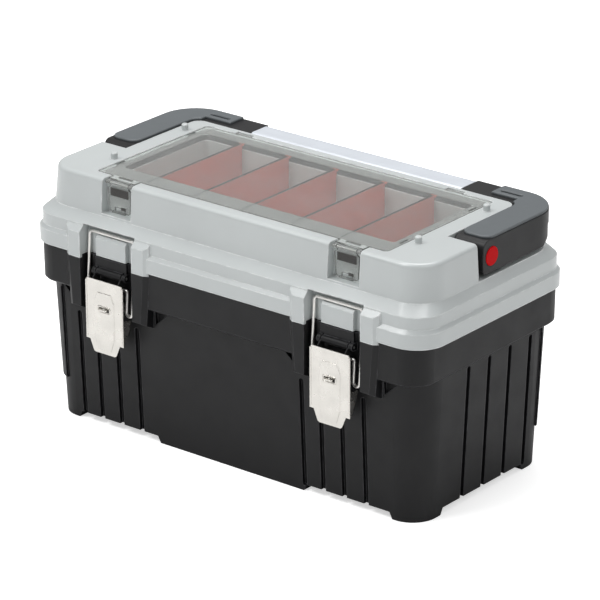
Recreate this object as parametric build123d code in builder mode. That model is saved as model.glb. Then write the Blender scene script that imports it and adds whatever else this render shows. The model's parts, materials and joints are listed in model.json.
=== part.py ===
"""Plastic tool box, 560 mm long: tapered bin, hinged lid with an organiser under a clear cover,
fold-down carrying handle and two over-centre wire latches.

Frame: millimetres, +X along the length, -Y is the front with the latches, +Z up.
The origin is the centre of the box on the floor.
"""
import os
from math import cos, radians, sin, tan

from build123d import *

os.makedirs("parts", exist_ok=True)

# Overall
box_length = 560.0
band_depth = 274.0
seam_z = 212.0
lid_top_z = 300.0
seam_gap = 0.4
running_gap = 0.3
wall = 3.0
hollow_overlap = 5.0

half_length = box_length / 2
band_half_y = band_depth / 2
rim_z = seam_z - seam_gap

# Bin, set in from the band of the lid at the base and at the collar
base_end_step = 20.3
base_side_step = 20.5
base_corner_r = 31.0
wall_draft = 2.75
collar_height = 45.0
collar_end_step = 8.4
collar_side_step = 2.3
collar_corner_r = 28.0
collar_draft = 1.0
collar_edge = 2.2
tongue_height = 4.5
tongue_sheet = 1.1

base_length = box_length - 2 * base_end_step
base_depth = band_depth - 2 * base_side_step
collar_z = seam_z - collar_height
collar_length = box_length - 2 * collar_end_step
collar_depth = band_depth - 2 * collar_side_step
slope = tan(radians(wall_draft))

# Vertical grooves and raised bottom edge of the bin
groove_width = 6.5
groove_depth = 4.5
groove_backing = 2.5
groove_end_bevel = 2.0
groove_bottom_z = 6.0
front_groove_drop = 31.0
end_groove_drop = 2.5
front_groove_offsets = (-55.0, -29.0, 0.0, 30.0)
end_groove_pitch = 38.0
end_groove_count = 4
foot_height = 8.0
foot_side_angle = 25.0
centre_foot_length = 206.0
corner_foot_end_step = 34.7
corner_foot_side_step = 40.5

front_groove_top_z = collar_z - front_groove_drop
end_groove_top_z = collar_z - end_groove_drop
end_groove_ys = [(i - 1) * end_groove_pitch for i in range(end_groove_count)]
corner_foot_x = base_length / 2 - corner_foot_end_step
corner_foot_y = base_depth / 2 - corner_foot_side_step

# Proud columns on two opposite corners, for nesting and stacking
column_proud = 2.5
column_bottom_z = 46.0
column_end_step = 20.2
column_side_step = 18.5
column_groove_width = 4.0
column_groove_depth = 3.0
column_groove_drop = 6.0

column_front_x = base_length / 2 - column_end_step
column_end_y = base_depth / 2 - column_side_step

# Latch bays
latch_x = 160.0
bay_half_width = 38.0
ridge_width = 22.5
ridge_bevel_x = 6.0
ridge_bevel_y = 4.0
ridge_proud = 2.6
ridge_height = 70.0
ridge_taper = 5.0
ridge_drop = 3.5
ridge_foot_step = 8.0
ridge_foot_rise = 9.0
ridge_slope_rise = 27.0
ridge_slope_back = 12.6
ridge_top_rise = 4.5
ridge_lap_gap = 0.8
gusset_width = 24.0
gusset_height = 20.0
gusset_overlap = 2.0
pad_half_width = 22.5
pad_step = 9.1

ridge_front_y = -band_half_y - ridge_proud
ridge_bottom_z = seam_z - ridge_height
pad_front_y = ridge_front_y + pad_step

# Lever latch
lever_width = 55.0
lever_top_drop = 22.0
plate_height = 73.0
tab_length = 14.5
lever_proud = 3.5
lever_sheet = 1.2
tab_top_width = 44.0
tab_bottom_width = 32.0
plate_corner_r = 3.0
tab_corner_r = 4.0
lever_pivot_depth = 11.5
lever_pivot_rise = 5.4
lever_pin_r = 1.5
pin_gap = 0.1
leaf_sheet = 1.2
leaf_height = 40.0
ear_x = 18.0
ear_eye_r = 3.4
lug_r = 4.4
lug_half_width = 24.0
slot_drop = 33.0
slot_width = 15.0
staple_width = 12.0
staple_sheet = 1.5
staple_base = 1.2
staple_plate_length = 26.0
staple_plate_height = 16.0
staple_proud = 5.2
staple_eye_r = 1.7
rivet_r = 2.2
rivet_x = 9.5
emboss_width = 29.0
emboss_height = 0.8
emboss_slope = 27.5
emboss_margin = 5.0
emboss_top_drop = 14.0
flange_drop = 43.0
flange_depth = 13.0

lever_top_z = seam_z - lever_top_drop
lever_shoulder_z = lever_top_z - plate_height
lever_bottom_z = lever_shoulder_z - tab_length
lever_face_y = ridge_front_y - lever_proud
lever_pivot_y = lever_face_y + lever_pivot_depth
lever_pivot_z = lever_top_z + lever_pivot_rise
slot_z = lever_top_z - slot_drop
staple_reach_y = lever_face_y - staple_proud
flange_top_z = lever_top_z - flange_drop

# Wire bail
wire_r = 1.9
wire_sides = 12
bend_chords = 3
bail_half_width = 33.0
bail_arm_x = 24.5
bail_pivot_back = 0.3
bail_pivot_drop = 14.4
bail_bar_step = 10.1
bail_bar_rise = 27.7
bail_turn_drop = 29.0
bail_corner_r = 4.5
bail_end_x = 16.5
bail_gap = 0.5
lip_depth = 2.0
bay_top_slope = 6.0

bail_pivot_y = lever_pivot_y + bail_pivot_back
bail_pivot_z = lever_pivot_z - bail_pivot_drop
bail_bar_y = -band_half_y + bail_bar_step
bail_bar_z = seam_z + bail_bar_rise
bay_face_y = bail_bar_y + wire_r + bail_gap

# Lid
lid_corner_r = 36.6
lower_band_height = 17.0
band_slope_height = 4.0
band_inset = 3.7
band_height = 35.0
ledge_rise = 10.0
tier_end_step = 11.0
tier_front_step = 16.7
tier_lean = 2.8
tier_front_r = 35.0
tier_back_r = 52.0
tier_edge_r = 5.0

lower_band_top_z = seam_z + lower_band_height
upper_band_z = lower_band_top_z + band_slope_height
band_top_z = seam_z + band_height
tier_base_z = band_top_z + ledge_rise
tier_base_half = half_length - tier_end_step
tier_base_front = -band_half_y + tier_front_step
tier_top_half = tier_base_half - tier_lean
tier_top_front = tier_base_front + tier_lean

# Handle
pivot_drop = 20.0
handle_proud = 1.8
arm_width = 39.0
arm_front_y = -15.5
arm_drop = 18.5
skirt_run_out = 41.0
corner_run_out = 25.0
corner_rise = 8.5
stub_run_out = 18.0
nose_low_r = 6.0
nose_top_r = 9.0
handle_corner_r = 46.0
inner_corner_r = 14.0
stub_length = 118.0
stub_depth = 33.0
bar_underside_rise = 3.0
bracket_sink = 0.5
skin = 4.0
inner_skirt_height = 8.0
arm_rib_ys = (34.0, 56.0, 78.0)
arm_rib_sheet = 2.5
arm_rib_height = 4.0
top_cover_thickness = 3.0
top_cover_edge = 1.0
top_cover_margin = 0.6
top_cover_length = 82.0
top_cover_step = 14.0
top_cover_front_y = -6.0
top_cover_nose_r = 12.0
finger_slot_length = 29.0
finger_slot_width = 5.0
hub_r = 10.0
pivot_pin_r = 4.0
boss_r = 9.0
boss_step = 18.4
cap_r = 11.0
cap_seat = 1.2
cap_thickness = 2.0
cap_edge = 0.6
well_half_y = 24.4
well_drop = 3.9
channel_drop = 11.0
recess_gap = 2.0
cheek_gap = 2.5
grip_edge_r = 5.0
grip_rib_pitch = 36.0
grip_rib_count = 7
grip_rib_sheet = 2.0
grip_end_wall = 12.0
tongue_back = 9.0
tongue_width = 15.0
tongue_height_z = 8.0
tongue_lift = 4.0
tongue_length = 13.0
grip_tongue_gap = 0.2
screw_r = 3.2
screw_head = 1.6
screw_step = 7.0

pivot_z = lid_top_z - pivot_drop
handle_outer_x = tier_top_half + handle_proud
arm_bottom_z = pivot_z - arm_drop
handle_back_y = band_half_y
stub_end_x = handle_outer_x - stub_length
bar_bottom_z = pivot_z + bar_underside_rise
bracket_top_z = lid_top_z - bracket_sink
inner_skirt_z = bracket_top_z - inner_skirt_height
top_cover_end_x = handle_outer_x - top_cover_length
boss_end_x = handle_outer_x - boss_step
bar_front_y = handle_back_y - stub_depth
well_floor_z = arm_bottom_z - well_drop
bar_floor_z = bar_bottom_z - channel_drop
bracket_inner_x = handle_outer_x - arm_width
recess_inner_x = bracket_inner_x - recess_gap
arm_recess_front_y = -well_half_y

# Organiser: shelf just under the cover, with a rebate round the tub
cover_side_step = 25.3
cover_front_step = 36.2
cover_back_step = 45.8
cover_corner_r = 5.0
cover_thickness = 3.0
cover_edge = 0.6
seat_gap = 0.8
hinge_side_gap = 1.6
seat_width = 4.5
shelf_drop = 1.1
end_shelf = 12.4
front_shelf = 28.8
back_shelf = 17.2
rebate_depth = 6.0
rebate_width = 2.5
tub_depth = 52.0
tub_corner_r = 6.0
divider_count = 5
divider_pitch = 68.3
divider_sheet = 2.0
divider_slot_gap = 0.2
divider_slot_depth = 2.0
divider_top_gap = 0.4
divider_tab_width = 6.5
divider_tab_reach = 3.0
divider_tab_depth = 2.0
cover_rib_width = 1.4
cover_rib_height = 0.7
cover_rib_front_step = 8.0

cover_length = 2 * (bracket_inner_x - cover_side_step)
cover_front_y = -band_half_y + cover_front_step
cover_back_y = band_half_y - cover_back_step
cover_base_z = lid_top_z - cover_thickness
seat_z = cover_base_z - running_gap
shelf_z = cover_base_z - shelf_drop
well_front_y = cover_front_y - seat_gap
well_back_y = cover_back_y + hinge_side_gap
opening_half = cover_length / 2 - end_shelf
opening_front_y = cover_front_y + front_shelf
opening_back_y = cover_back_y - back_shelf
rebate_z = shelf_z - rebate_depth
tub_half = opening_half - rebate_width
tub_front_y = opening_front_y + rebate_width
tub_back_y = opening_back_y - rebate_width
tub_floor_z = lid_top_z - tub_depth
divider_top_z = shelf_z - divider_top_gap
divider_xs = [(i - (divider_count - 1) / 2) * divider_pitch for i in range(divider_count)]

# Cover hinge and snap flaps
cover_hinge_back = 3.8
cover_hinge_drop = 2.7
cover_hinge_gap = 1.1
cover_barrel_r = 2.3
cover_barrel_length = 24.0
cover_barrel_x = 150.0
cover_pin_r = 1.0
cover_pin_hold = 5.0
flap_axis_front = 11.7
flap_axis_drop = 3.4
flap_barrel_r = 2.4
flap_pin_r = 0.9
flap_half_width = 17.0
flap_shoulder = 3.4
flap_sheet = 2.0
flap_drop = 37.0
flap_knuckle = 5.0
flap_knuckle_out = 2.0
notch_half_width = 21.4
notch_back = 4.0
notch_drop = 40.0
catch_drop = 33.8
catch_half_width = 6.0
window_length = 14.0
window_height = 4.4
cover_slot_length = 19.0
cover_slot_width = 2.6
peg_r = 4.0
peg_height = 8.0
peg_edge = 1.2
peg_side_step = 10.5
peg_front_step = 41.6
peg_back_step = 26.8
peg_slot_length = 14.0

cover_hinge_y = cover_back_y + cover_hinge_back
cover_hinge_z = lid_top_z - cover_hinge_drop
flap_axis_y = cover_front_y - flap_axis_front
flap_axis_z = lid_top_z - flap_axis_drop
flap_bottom_z = lid_top_z - flap_drop
notch_back_y = flap_axis_y + notch_back
notch_floor_z = lid_top_z - notch_drop
catch_z = lid_top_z - catch_drop
peg_x = cover_length / 2 + peg_side_step
peg_ys = (cover_front_y + peg_front_step, cover_back_y - peg_back_step)

# Lid hinge, whose barrel reaches as far back as the staples reach forward
knuckle_r = 5.5
hinge_y = -staple_reach_y - knuckle_r
hinge_z = seam_z
hinge_x = 165.0
knuckle_length = 22.0
knuckle_gap = 0.4
hinge_rod_r = 2.0
knuckle_web_height = 16.0
bin_web_root = 4.0
lid_web_root = 2.0

# Reach of cutting solids beyond what they cut
far = 60.0


def outline(half_x, front_y, back_y, front_r, back_r):
    """Rounded rectangle with its own radius at the front and at the back corners."""
    with BuildSketch() as sketch:
        with Locations((0, (front_y + back_y) / 2)):
            Rectangle(2 * half_x, back_y - front_y)
        fillet(sketch.vertices().group_by(Axis.Y)[0], front_r)
        fillet(sketch.vertices().group_by(Axis.Y)[-1], back_r)
    return sketch.sketch


def tapered_block(low, low_z, high, high_z):
    """Straight-sided solid between two outlines at two heights."""
    with BuildPart() as block:
        with BuildSketch(Plane.XY.offset(low_z)):
            add(low)
        with BuildSketch(Plane.XY.offset(high_z)):
            add(high)
        loft(ruled=True)
    return block.part


def box_between(x0, x1, y0, y1, z0, z1):
    """Box given by its two corners."""
    with BuildPart() as block:
        with BuildSketch(Plane.XY.offset(z0)):
            with Locations(((x0 + x1) / 2, (y0 + y1) / 2)):
                Rectangle(x1 - x0, y1 - y0)
        extrude(amount=z1 - z0)
    return block.part


def rod_along_x(x0, x1, y, z, radius):
    """Round bar along the length of the box."""
    with BuildPart() as rod:
        with BuildSketch(Plane.YZ.offset(x0)):
            with Locations((y, z)):
                Circle(radius)
        extrude(amount=x1 - x0)
    return rod.part


def side_profile(points, x0, x1):
    """Solid with a straight-edged side view, drawn as (y, z) points."""
    with BuildPart() as block:
        with BuildSketch(Plane.YZ.offset(x0)):
            with BuildLine():
                Polyline(*points, close=True)
            make_face()
        extrude(amount=x1 - x0)
    return block.part


def wall_solid(low_z, high_z, outset):
    """Tapered solid that follows the outside of the bin wall, moved out by outset."""
    grow = slope * low_z + outset
    half_y = base_depth / 2 + grow
    with BuildPart() as solid:
        with BuildSketch(Plane.XY.offset(low_z)):
            add(outline(base_length / 2 + grow, -half_y, half_y, base_corner_r + grow, base_corner_r + grow))
        extrude(amount=high_z - low_z, taper=-wall_draft)
    return solid.part


def collar_solid(low_z, high_z, outset):
    """Slightly drafted solid that follows the outside of the collar, moved out by outset."""
    grow = tan(radians(collar_draft)) * (low_z - collar_z) + outset
    half_y = collar_depth / 2 + grow
    with BuildPart() as solid:
        with BuildSketch(Plane.XY.offset(low_z)):
            add(outline(collar_length / 2 + grow, -half_y, half_y, collar_corner_r + grow, collar_corner_r + grow))
        extrude(amount=high_z - low_z, taper=-collar_draft)
    return solid.part


def collar_bay(x, grow):
    """Gap in the front of the collar for one latch."""
    return box_between(x - bay_half_width - grow, x + bay_half_width + grow, -band_depth, -base_depth / 4,
                       collar_z - 1, lid_top_z)


def wall_plane(side):
    """Sketch plane that lies on the outside of a bin wall, with its Y axis up the wall."""
    lean = radians(wall_draft)
    if side == "front":
        return Plane((0, -base_depth / 2, 0), x_dir=(1, 0, 0), z_dir=(0, -cos(lean), -sin(lean)))
    if side == "back":
        return Plane((0, base_depth / 2, 0), x_dir=(-1, 0, 0), z_dir=(0, cos(lean), -sin(lean)))
    if side == "right":
        return Plane((base_length / 2, 0, 0), x_dir=(0, 1, 0), z_dir=(cos(lean), 0, -sin(lean)))
    return Plane((-base_length / 2, 0, 0), x_dir=(0, -1, 0), z_dir=(-cos(lean), 0, -sin(lean)))


def wall_grooves(side, places, low_z, high_z, width, depth):
    """Grooves with bevelled ends cut into a bin wall, side by side."""
    up = 1 / cos(radians(wall_draft))
    with BuildPart() as grooves:
        with BuildSketch(wall_plane(side).offset(wall)) as strips:
            with Locations(*[(place, (low_z + high_z) / 2 * up) for place in places]):
                Rectangle(width, (high_z - low_z) * up)
            chamfer(strips.vertices(), groove_end_bevel)
        extrude(amount=-depth - wall)
    return grooves.part


def gussets(depth, grow):
    """Three-cornered pockets under the collar beside the latch ridges."""
    up = 1 / cos(radians(wall_draft))
    reach = bay_half_width + ridge_width - gusset_overlap
    with BuildPart() as pockets:
        with BuildSketch(wall_plane("front")):
            for centre in (-latch_x, latch_x):
                for way in (-1, 1):
                    near = centre + way * (reach - grow)
                    tip = centre + way * (reach + gusset_width + grow)
                    top = (collar_z + 1 + grow) * up
                    low = (collar_z - gusset_height - grow) * up
                    with BuildLine():
                        Polyline((near, top), (tip, top), (near, low), close=True)
                    make_face()
        extrude(amount=-depth)
    return pockets.part


# Grooves of the four walls; the two ends are alike when turned half round
groove_sets = [
    ("front", [x + dx for x in (-latch_x, latch_x) for dx in front_groove_offsets], front_groove_top_z),
    ("back", [x + dx for x in (-latch_x, latch_x) for dx in front_groove_offsets], front_groove_top_z),
    ("right", list(end_groove_ys), end_groove_top_z),
    ("left", list(end_groove_ys), end_groove_top_z),
]
column_grooves = [("front", -column_front_x), ("right", column_end_y), ("back", -column_front_x),
                  ("left", column_end_y)]

# Inside of the bin: tapered hollow that dips into the feet, with ribs left standing behind each groove
with BuildPart() as bin_hollow:
    add(wall_solid(wall, rim_z + tongue_height + 1, -wall))
    with BuildPart(mode=Mode.PRIVATE) as collar_hollow:
        add(collar_solid(collar_z + wall, rim_z + tongue_height + 1, -wall))
        for x in (-latch_x, latch_x):
            add(collar_bay(x, wall), mode=Mode.SUBTRACT)
    add(collar_hollow.part)
    with BuildSketch(Plane.XY.offset(wall)):
        Rectangle(box_length, 2 * (corner_foot_y + wall))
        with Locations((-(centre_foot_length / 2 + corner_foot_x) / 2, 0),
                       ((centre_foot_length / 2 + corner_foot_x) / 2, 0)):
            Rectangle(corner_foot_x - centre_foot_length / 2 + 2 * wall, band_depth)
        Rectangle(centre_foot_length - 2 * wall, band_depth, mode=Mode.SUBTRACT)
    extrude(amount=foot_height, mode=Mode.SUBTRACT)
    for side, places, top_z in groove_sets:
        width = groove_width + 2 * groove_backing
        depth = groove_depth + groove_backing
        rib = wall_grooves(side, places, groove_bottom_z - far / 2, top_z + groove_backing, width, depth)
        add(rib, mode=Mode.SUBTRACT)
    add(gussets(groove_depth + groove_backing, groove_backing), mode=Mode.SUBTRACT)

# Bin
with BuildPart() as bin_shell:
    add(wall_solid(0, rim_z, 0))
    # Collar, open at the latch bays
    with BuildPart(mode=Mode.PRIVATE) as collar:
        add(collar_solid(collar_z, rim_z, 0))
        chamfer(collar.faces().sort_by(Axis.Z)[0].edges(), collar_edge)
        for x in (-latch_x, latch_x):
            add(collar_bay(x, 0), mode=Mode.SUBTRACT)
    add(collar.part)
    # Proud corner columns
    for way in (-1, 1):
        with BuildPart(mode=Mode.PRIVATE) as column:
            add(wall_solid(column_bottom_z, collar_z + 1, column_proud))
            corner = box_between(min(-way * column_front_x, -way * half_length),
                                 max(-way * column_front_x, -way * half_length),
                                 min(-way * column_end_y, -way * band_depth),
                                 max(-way * column_end_y, -way * band_depth), 0, seam_z)
            add(corner, mode=Mode.INTERSECT)
        add(column.part)
    # Latch ridges, narrower at the foot, with a sloping lower end
    for x in (-latch_x, latch_x):
        for way in (-1, 1):
            with BuildPart(mode=Mode.PRIVATE) as ridge:
                for z, narrower in ((ridge_bottom_z, ridge_taper), (rim_z - ridge_drop, 0)):
                    inner = x + way * bay_half_width
                    outer = x + way * (bay_half_width + ridge_width - narrower)
                    with BuildSketch(Plane.XY.offset(z)):
                        with BuildLine():
                            Polyline((inner, -base_depth / 2), (inner, ridge_front_y),
                                     (outer - way * ridge_bevel_x, ridge_front_y),
                                     (outer, ridge_front_y + ridge_bevel_y), (outer, -base_depth / 2),
                                     close=True)
                        make_face()
                loft(ruled=True)
                foot = [(ridge_front_y - 1, ridge_bottom_z - 1), (-base_depth / 2, ridge_bottom_z - 1),
                        (-base_depth / 2 - ridge_foot_step, ridge_bottom_z),
                        (ridge_front_y - 1, ridge_bottom_z + ridge_foot_rise)]
                reach = bay_half_width + ridge_width + 1
                add(side_profile(foot, x - reach, x + reach), mode=Mode.SUBTRACT)
            add(ridge.part)
    # Pad in the middle of each latch bay, and the hinge lugs for the levers
    for x in (-latch_x, latch_x):
        add(box_between(x - pad_half_width, x + pad_half_width, pad_front_y, -base_depth / 2, lever_pivot_z, rim_z))
        add(rod_along_x(x - lug_half_width, x + lug_half_width, lever_pivot_y, lever_pivot_z, lug_r))
        add(box_between(x - lug_half_width, x + lug_half_width, lever_pivot_y, -base_depth / 2,
                        lever_pivot_z - lug_r, lever_pivot_z + lug_r))
        for way in (-1, 1):
            slot = (x + way * (ear_x - running_gap), x + way * (ear_x + leaf_sheet + running_gap))
            add(box_between(min(slot), max(slot), lever_pivot_y - lug_r - 1,
                            -base_depth / 2 - slope * lever_pivot_z,
                            lever_pivot_z - lug_r - 1, lever_pivot_z + lug_r + 1), mode=Mode.SUBTRACT)
        add(rod_along_x(x - lug_half_width - 1, x + lug_half_width + 1, lever_pivot_y, lever_pivot_z,
                        lever_pin_r), mode=Mode.SUBTRACT)
    # Rim tongue that stands inside the lid, open at the latch bays
    with BuildPart(mode=Mode.PRIVATE) as tongue:
        add(collar_solid(rim_z - 1, rim_z + tongue_height, tongue_sheet - wall))
        for x in (-latch_x, latch_x):
            reach = bay_half_width + wall + tongue_sheet
            add(box_between(x - reach, x + reach, -band_depth, 0, collar_z, lid_top_z), mode=Mode.SUBTRACT)
    add(tongue.part)
    # Rear hinge knuckles
    for x in (-hinge_x, hinge_x):
        for way in (-1, 1):
            ends = (x + way * (knuckle_length / 2 + knuckle_gap),
                    x + way * (knuckle_length * 1.5 + knuckle_gap))
            add(rod_along_x(min(ends), max(ends), hinge_y, hinge_z, knuckle_r))
            web = [(collar_depth / 2 - bin_web_root, rim_z - knuckle_web_height),
                   (hinge_y + knuckle_r * 0.7, hinge_z - knuckle_r * 0.7),
                   (hinge_y, rim_z), (collar_depth / 2 - bin_web_root, rim_z)]
            add(side_profile(web, min(ends), max(ends)))
        add(rod_along_x(x - 1.5 * knuckle_length - 2, x + 1.5 * knuckle_length + 2, hinge_y, hinge_z,
                        hinge_rod_r), mode=Mode.SUBTRACT)
    # Grooves, gussets and hollow
    for side, places, top_z in groove_sets:
        add(wall_grooves(side, places, groove_bottom_z, top_z, groove_width, groove_depth), mode=Mode.SUBTRACT)
    for side, place in column_grooves:
        add(wall_grooves(side, [place], column_bottom_z, collar_z - column_groove_drop,
                         column_groove_width, column_groove_depth), mode=Mode.SUBTRACT)
    add(gussets(groove_depth, 0), mode=Mode.SUBTRACT)
    add(bin_hollow.part, mode=Mode.SUBTRACT)
    # Raised bottom edge between the feet
    with BuildSketch(Plane.XY):
        Rectangle(box_length, 2 * corner_foot_y)
        with Locations((-(centre_foot_length / 2 + corner_foot_x) / 2, 0),
                       ((centre_foot_length / 2 + corner_foot_x) / 2, 0)):
            Rectangle(corner_foot_x - centre_foot_length / 2, band_depth)
    extrude(amount=foot_height, taper=foot_side_angle, mode=Mode.SUBTRACT)

# Lever pins, one in each lug
with BuildPart() as lever_pins:
    for x in (-latch_x, latch_x):
        add(rod_along_x(x - lug_half_width, x + lug_half_width, lever_pivot_y, lever_pivot_z, lever_pin_r))

# Padlock staples: a flat eye on a base plate riveted to the wall behind the lever
staple_wall_y = -base_depth / 2 - slope * slot_z - staple_base / 2
eye_y = staple_reach_y + 2 * staple_eye_r
slot_up = slot_z / cos(radians(wall_draft))
with BuildPart() as padlock_staples:
    for x in (-latch_x, latch_x):
        with BuildSketch(Plane.XY.offset(slot_z - staple_sheet / 2)) as eye:
            with Locations((x, (staple_wall_y + staple_reach_y) / 2)):
                Rectangle(staple_width, staple_wall_y - staple_reach_y)
            chamfer(eye.vertices().group_by(Axis.Y)[0], staple_eye_r)
            with Locations((x, eye_y)):
                Circle(staple_eye_r, mode=Mode.SUBTRACT)
        extrude(amount=staple_sheet)
    for x in (-latch_x, latch_x):
        with BuildSketch(wall_plane("front")) as base:
            with Locations((x, slot_up)):
                Rectangle(staple_plate_length, staple_plate_height)
            chamfer(base.vertices(), plate_corner_r)
        extrude(amount=staple_base)

# Rivets through the staple plates
with BuildPart() as staple_rivets:
    with BuildSketch(wall_plane("front").offset(staple_base)):
        with Locations(*[(x + way * rivet_x, slot_up) for x in (-latch_x, latch_x) for way in (-1, 1)]):
            Circle(rivet_r)
    extrude(amount=staple_base)


def staple_slot(x):
    """Slot for the padlock staple through the lever and its hinge leaf."""
    return box_between(x - slot_width / 2, x + slot_width / 2, lever_face_y - lever_sheet,
                       lever_face_y + lever_pivot_depth, slot_z - 2 * staple_sheet, slot_z + staple_sheet)


def make_lever(x):
    """Stamped steel lever: face plate with a finger tab, a raised panel and stiffening flanges."""
    back_y = lever_face_y + lever_sheet
    half = lever_width / 2
    with BuildPart() as lever:
        face = Plane((x, back_y, 0), x_dir=(1, 0, 0), z_dir=(0, -1, 0))
        with BuildSketch(face) as plate:
            with BuildLine():
                Polyline((-half, lever_top_z), (half, lever_top_z), (half, lever_shoulder_z),
                         (tab_top_width / 2, lever_shoulder_z), (tab_bottom_width / 2, lever_bottom_z),
                         (-tab_bottom_width / 2, lever_bottom_z), (-tab_top_width / 2, lever_shoulder_z),
                         (-half, lever_shoulder_z), close=True)
            make_face()
            chamfer(plate.vertices().group_by(Axis.Y)[-1], plate_corner_r)
            fillet(plate.vertices().group_by(Axis.Y)[0], tab_corner_r)
        extrude(amount=lever_sheet)
        # Raised panel down the middle of the plate, narrower at both ends
        panel_half = emboss_width / 2
        panel_top_z = lever_top_z - emboss_top_drop
        with BuildSketch(face.offset(lever_sheet)):
            with BuildLine():
                Polyline((emboss_margin - panel_half, panel_top_z), (panel_half - emboss_margin, panel_top_z),
                         (panel_half, panel_top_z - 2 * emboss_margin),
                         (panel_half, lever_shoulder_z + emboss_margin),
                         (panel_half - emboss_margin, lever_bottom_z + emboss_margin),
                         (emboss_margin - panel_half, lever_bottom_z + emboss_margin),
                         (-panel_half, lever_shoulder_z + emboss_margin),
                         (-panel_half, panel_top_z - 2 * emboss_margin), close=True)
            make_face()
        extrude(amount=emboss_height, taper=emboss_slope)
        # Side flanges, deep above and running out below
        for way in (-1, 1):
            flange = [(back_y - lever_sheet / 4, flange_top_z), (back_y + flange_depth, flange_top_z),
                      (back_y + flange_depth - lever_sheet, flange_top_z - flange_depth / 2),
                      (back_y + lever_sheet, lever_shoulder_z + lever_sheet),
                      (back_y - lever_sheet / 4, lever_shoulder_z + lever_sheet)]
            edge = (x + way * half, x + way * (half - lever_sheet))
            add(side_profile(flange, min(edge), max(edge)))
        add(staple_slot(x), mode=Mode.SUBTRACT)
    return lever.part


def make_leaf(x):
    """Steel hinge leaf on the back of the lever, with an ear at each side for both pivots."""
    back_y = lever_face_y + lever_sheet
    ear_outer = ear_x + leaf_sheet
    leaf_top_z = lever_top_z - leaf_sheet
    with BuildPart() as leaf:
        add(box_between(x - ear_outer, x + ear_outer, back_y, back_y + leaf_sheet, leaf_top_z - leaf_height,
                        leaf_top_z))
        for way in (-1, 1):
            sides = (x + way * ear_x, x + way * ear_outer)
            web = [(back_y, bail_pivot_z - 2 * ear_eye_r),
                   (bail_pivot_y + ear_eye_r * 0.7, bail_pivot_z - ear_eye_r * 0.7),
                   (lever_pivot_y + ear_eye_r * 0.9, lever_pivot_z),
                   (lever_pivot_y, lever_pivot_z + ear_eye_r * 0.9), (back_y, leaf_top_z)]
            add(side_profile(web, min(sides), max(sides)))
            add(rod_along_x(min(sides), max(sides), lever_pivot_y, lever_pivot_z, ear_eye_r))
            add(rod_along_x(min(sides), max(sides), bail_pivot_y, bail_pivot_z, ear_eye_r))
        for y, z, r in ((lever_pivot_y, lever_pivot_z, lever_pin_r), (bail_pivot_y, bail_pivot_z, wire_r)):
            add(rod_along_x(x - 2 * ear_x, x + 2 * ear_x, y, z, r + pin_gap), mode=Mode.SUBTRACT)
        add(staple_slot(x), mode=Mode.SUBTRACT)
    return leaf.part


def bent_wire(points, radii):
    """Points along a wire with square bends, each bend drawn as short chords of its own radius."""
    along = [Vector(*points[0])]
    for before, corner, after, radius in zip(points, points[1:], points[2:], radii):
        arrive = (Vector(*corner) - Vector(*before)).normalized()
        leave = (Vector(*after) - Vector(*corner)).normalized()
        middle = Vector(*corner) + (leave - arrive) * radius
        for i in range(bend_chords + 1):
            turn = radians(90 * i / bend_chords)
            point = middle + arrive * (radius * sin(turn)) - leave * (radius * cos(turn))
            if (point - along[-1]).length > wire_r / 10:
                along.append(point)
    along.append(Vector(*points[-1]))
    return [(point.X, point.Y) for point in along]


def make_bail(x):
    """Bent wire bail: bar, two legs with springy U-turns, and ends that turn into the lever's ears."""
    rise = Vector(0, bail_bar_y - bail_pivot_y, bail_bar_z - bail_pivot_z)
    plane = Plane((x, bail_pivot_y, bail_pivot_z), x_dir=(1, 0, 0),
                  z_dir=Vector(1, 0, 0).cross(rise.normalized()))
    top = rise.length
    turn_r = (bail_half_width - bail_arm_x) / 2
    half_path = [(bail_end_x, 0), (bail_arm_x, 0), (bail_arm_x, -bail_turn_drop),
                 (bail_half_width, -bail_turn_drop), (bail_half_width, top)]
    points = half_path + [(-a, b) for a, b in reversed(half_path)]
    end_r = wire_r + pin_gap
    radii = [end_r, turn_r, turn_r, bail_corner_r, bail_corner_r, turn_r, turn_r, end_r]
    with BuildPart() as bail:
        with BuildLine(plane) as path:
            Polyline(*bent_wire(points, radii))
        with BuildSketch(Plane(path.line @ 0, z_dir=path.line % 0)):
            RegularPolygon(wire_r, wire_sides)
        sweep(transition=Transition.RIGHT)
    return bail.part


levers = {"left_latch_lever": make_lever(-latch_x), "right_latch_lever": make_lever(latch_x)}
leaves = {"left_latch_leaf": make_leaf(-latch_x), "right_latch_leaf": make_leaf(latch_x)}
bails = {"left_latch_bail": make_bail(-latch_x), "right_latch_bail": make_bail(latch_x)}

# Rear hinge rods
with BuildPart() as lid_hinge_rods:
    for x in (-hinge_x, hinge_x):
        add(rod_along_x(x - 1.5 * knuckle_length, x + 1.5 * knuckle_length, hinge_y, hinge_z,
                        hinge_rod_r - 0.05))


def lid_outline(inset):
    """Outline of the lid band."""
    return outline(half_length - inset, -band_half_y + inset, band_half_y - inset,
                   lid_corner_r - inset, lid_corner_r - inset)


tier_back = band_half_y - band_inset
tier_base = outline(tier_base_half, tier_base_front, tier_back, tier_front_r, tier_back_r)
tier_top = outline(tier_top_half, tier_top_front, tier_back, tier_front_r, tier_back_r)


def organiser_cut(half_x, front_y, back_y, radius, low_z):
    """Well of the organiser, open at the top, with rounded corners where a radius is given."""
    with BuildPart() as well:
        with BuildSketch(Plane.XY.offset(low_z)):
            if radius:
                add(outline(half_x, front_y, back_y, radius, radius))
            else:
                with Locations((0, (front_y + back_y) / 2)):
                    Rectangle(2 * half_x, back_y - front_y)
        extrude(amount=lid_top_z + 1 - low_z)
    return well.part


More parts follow.
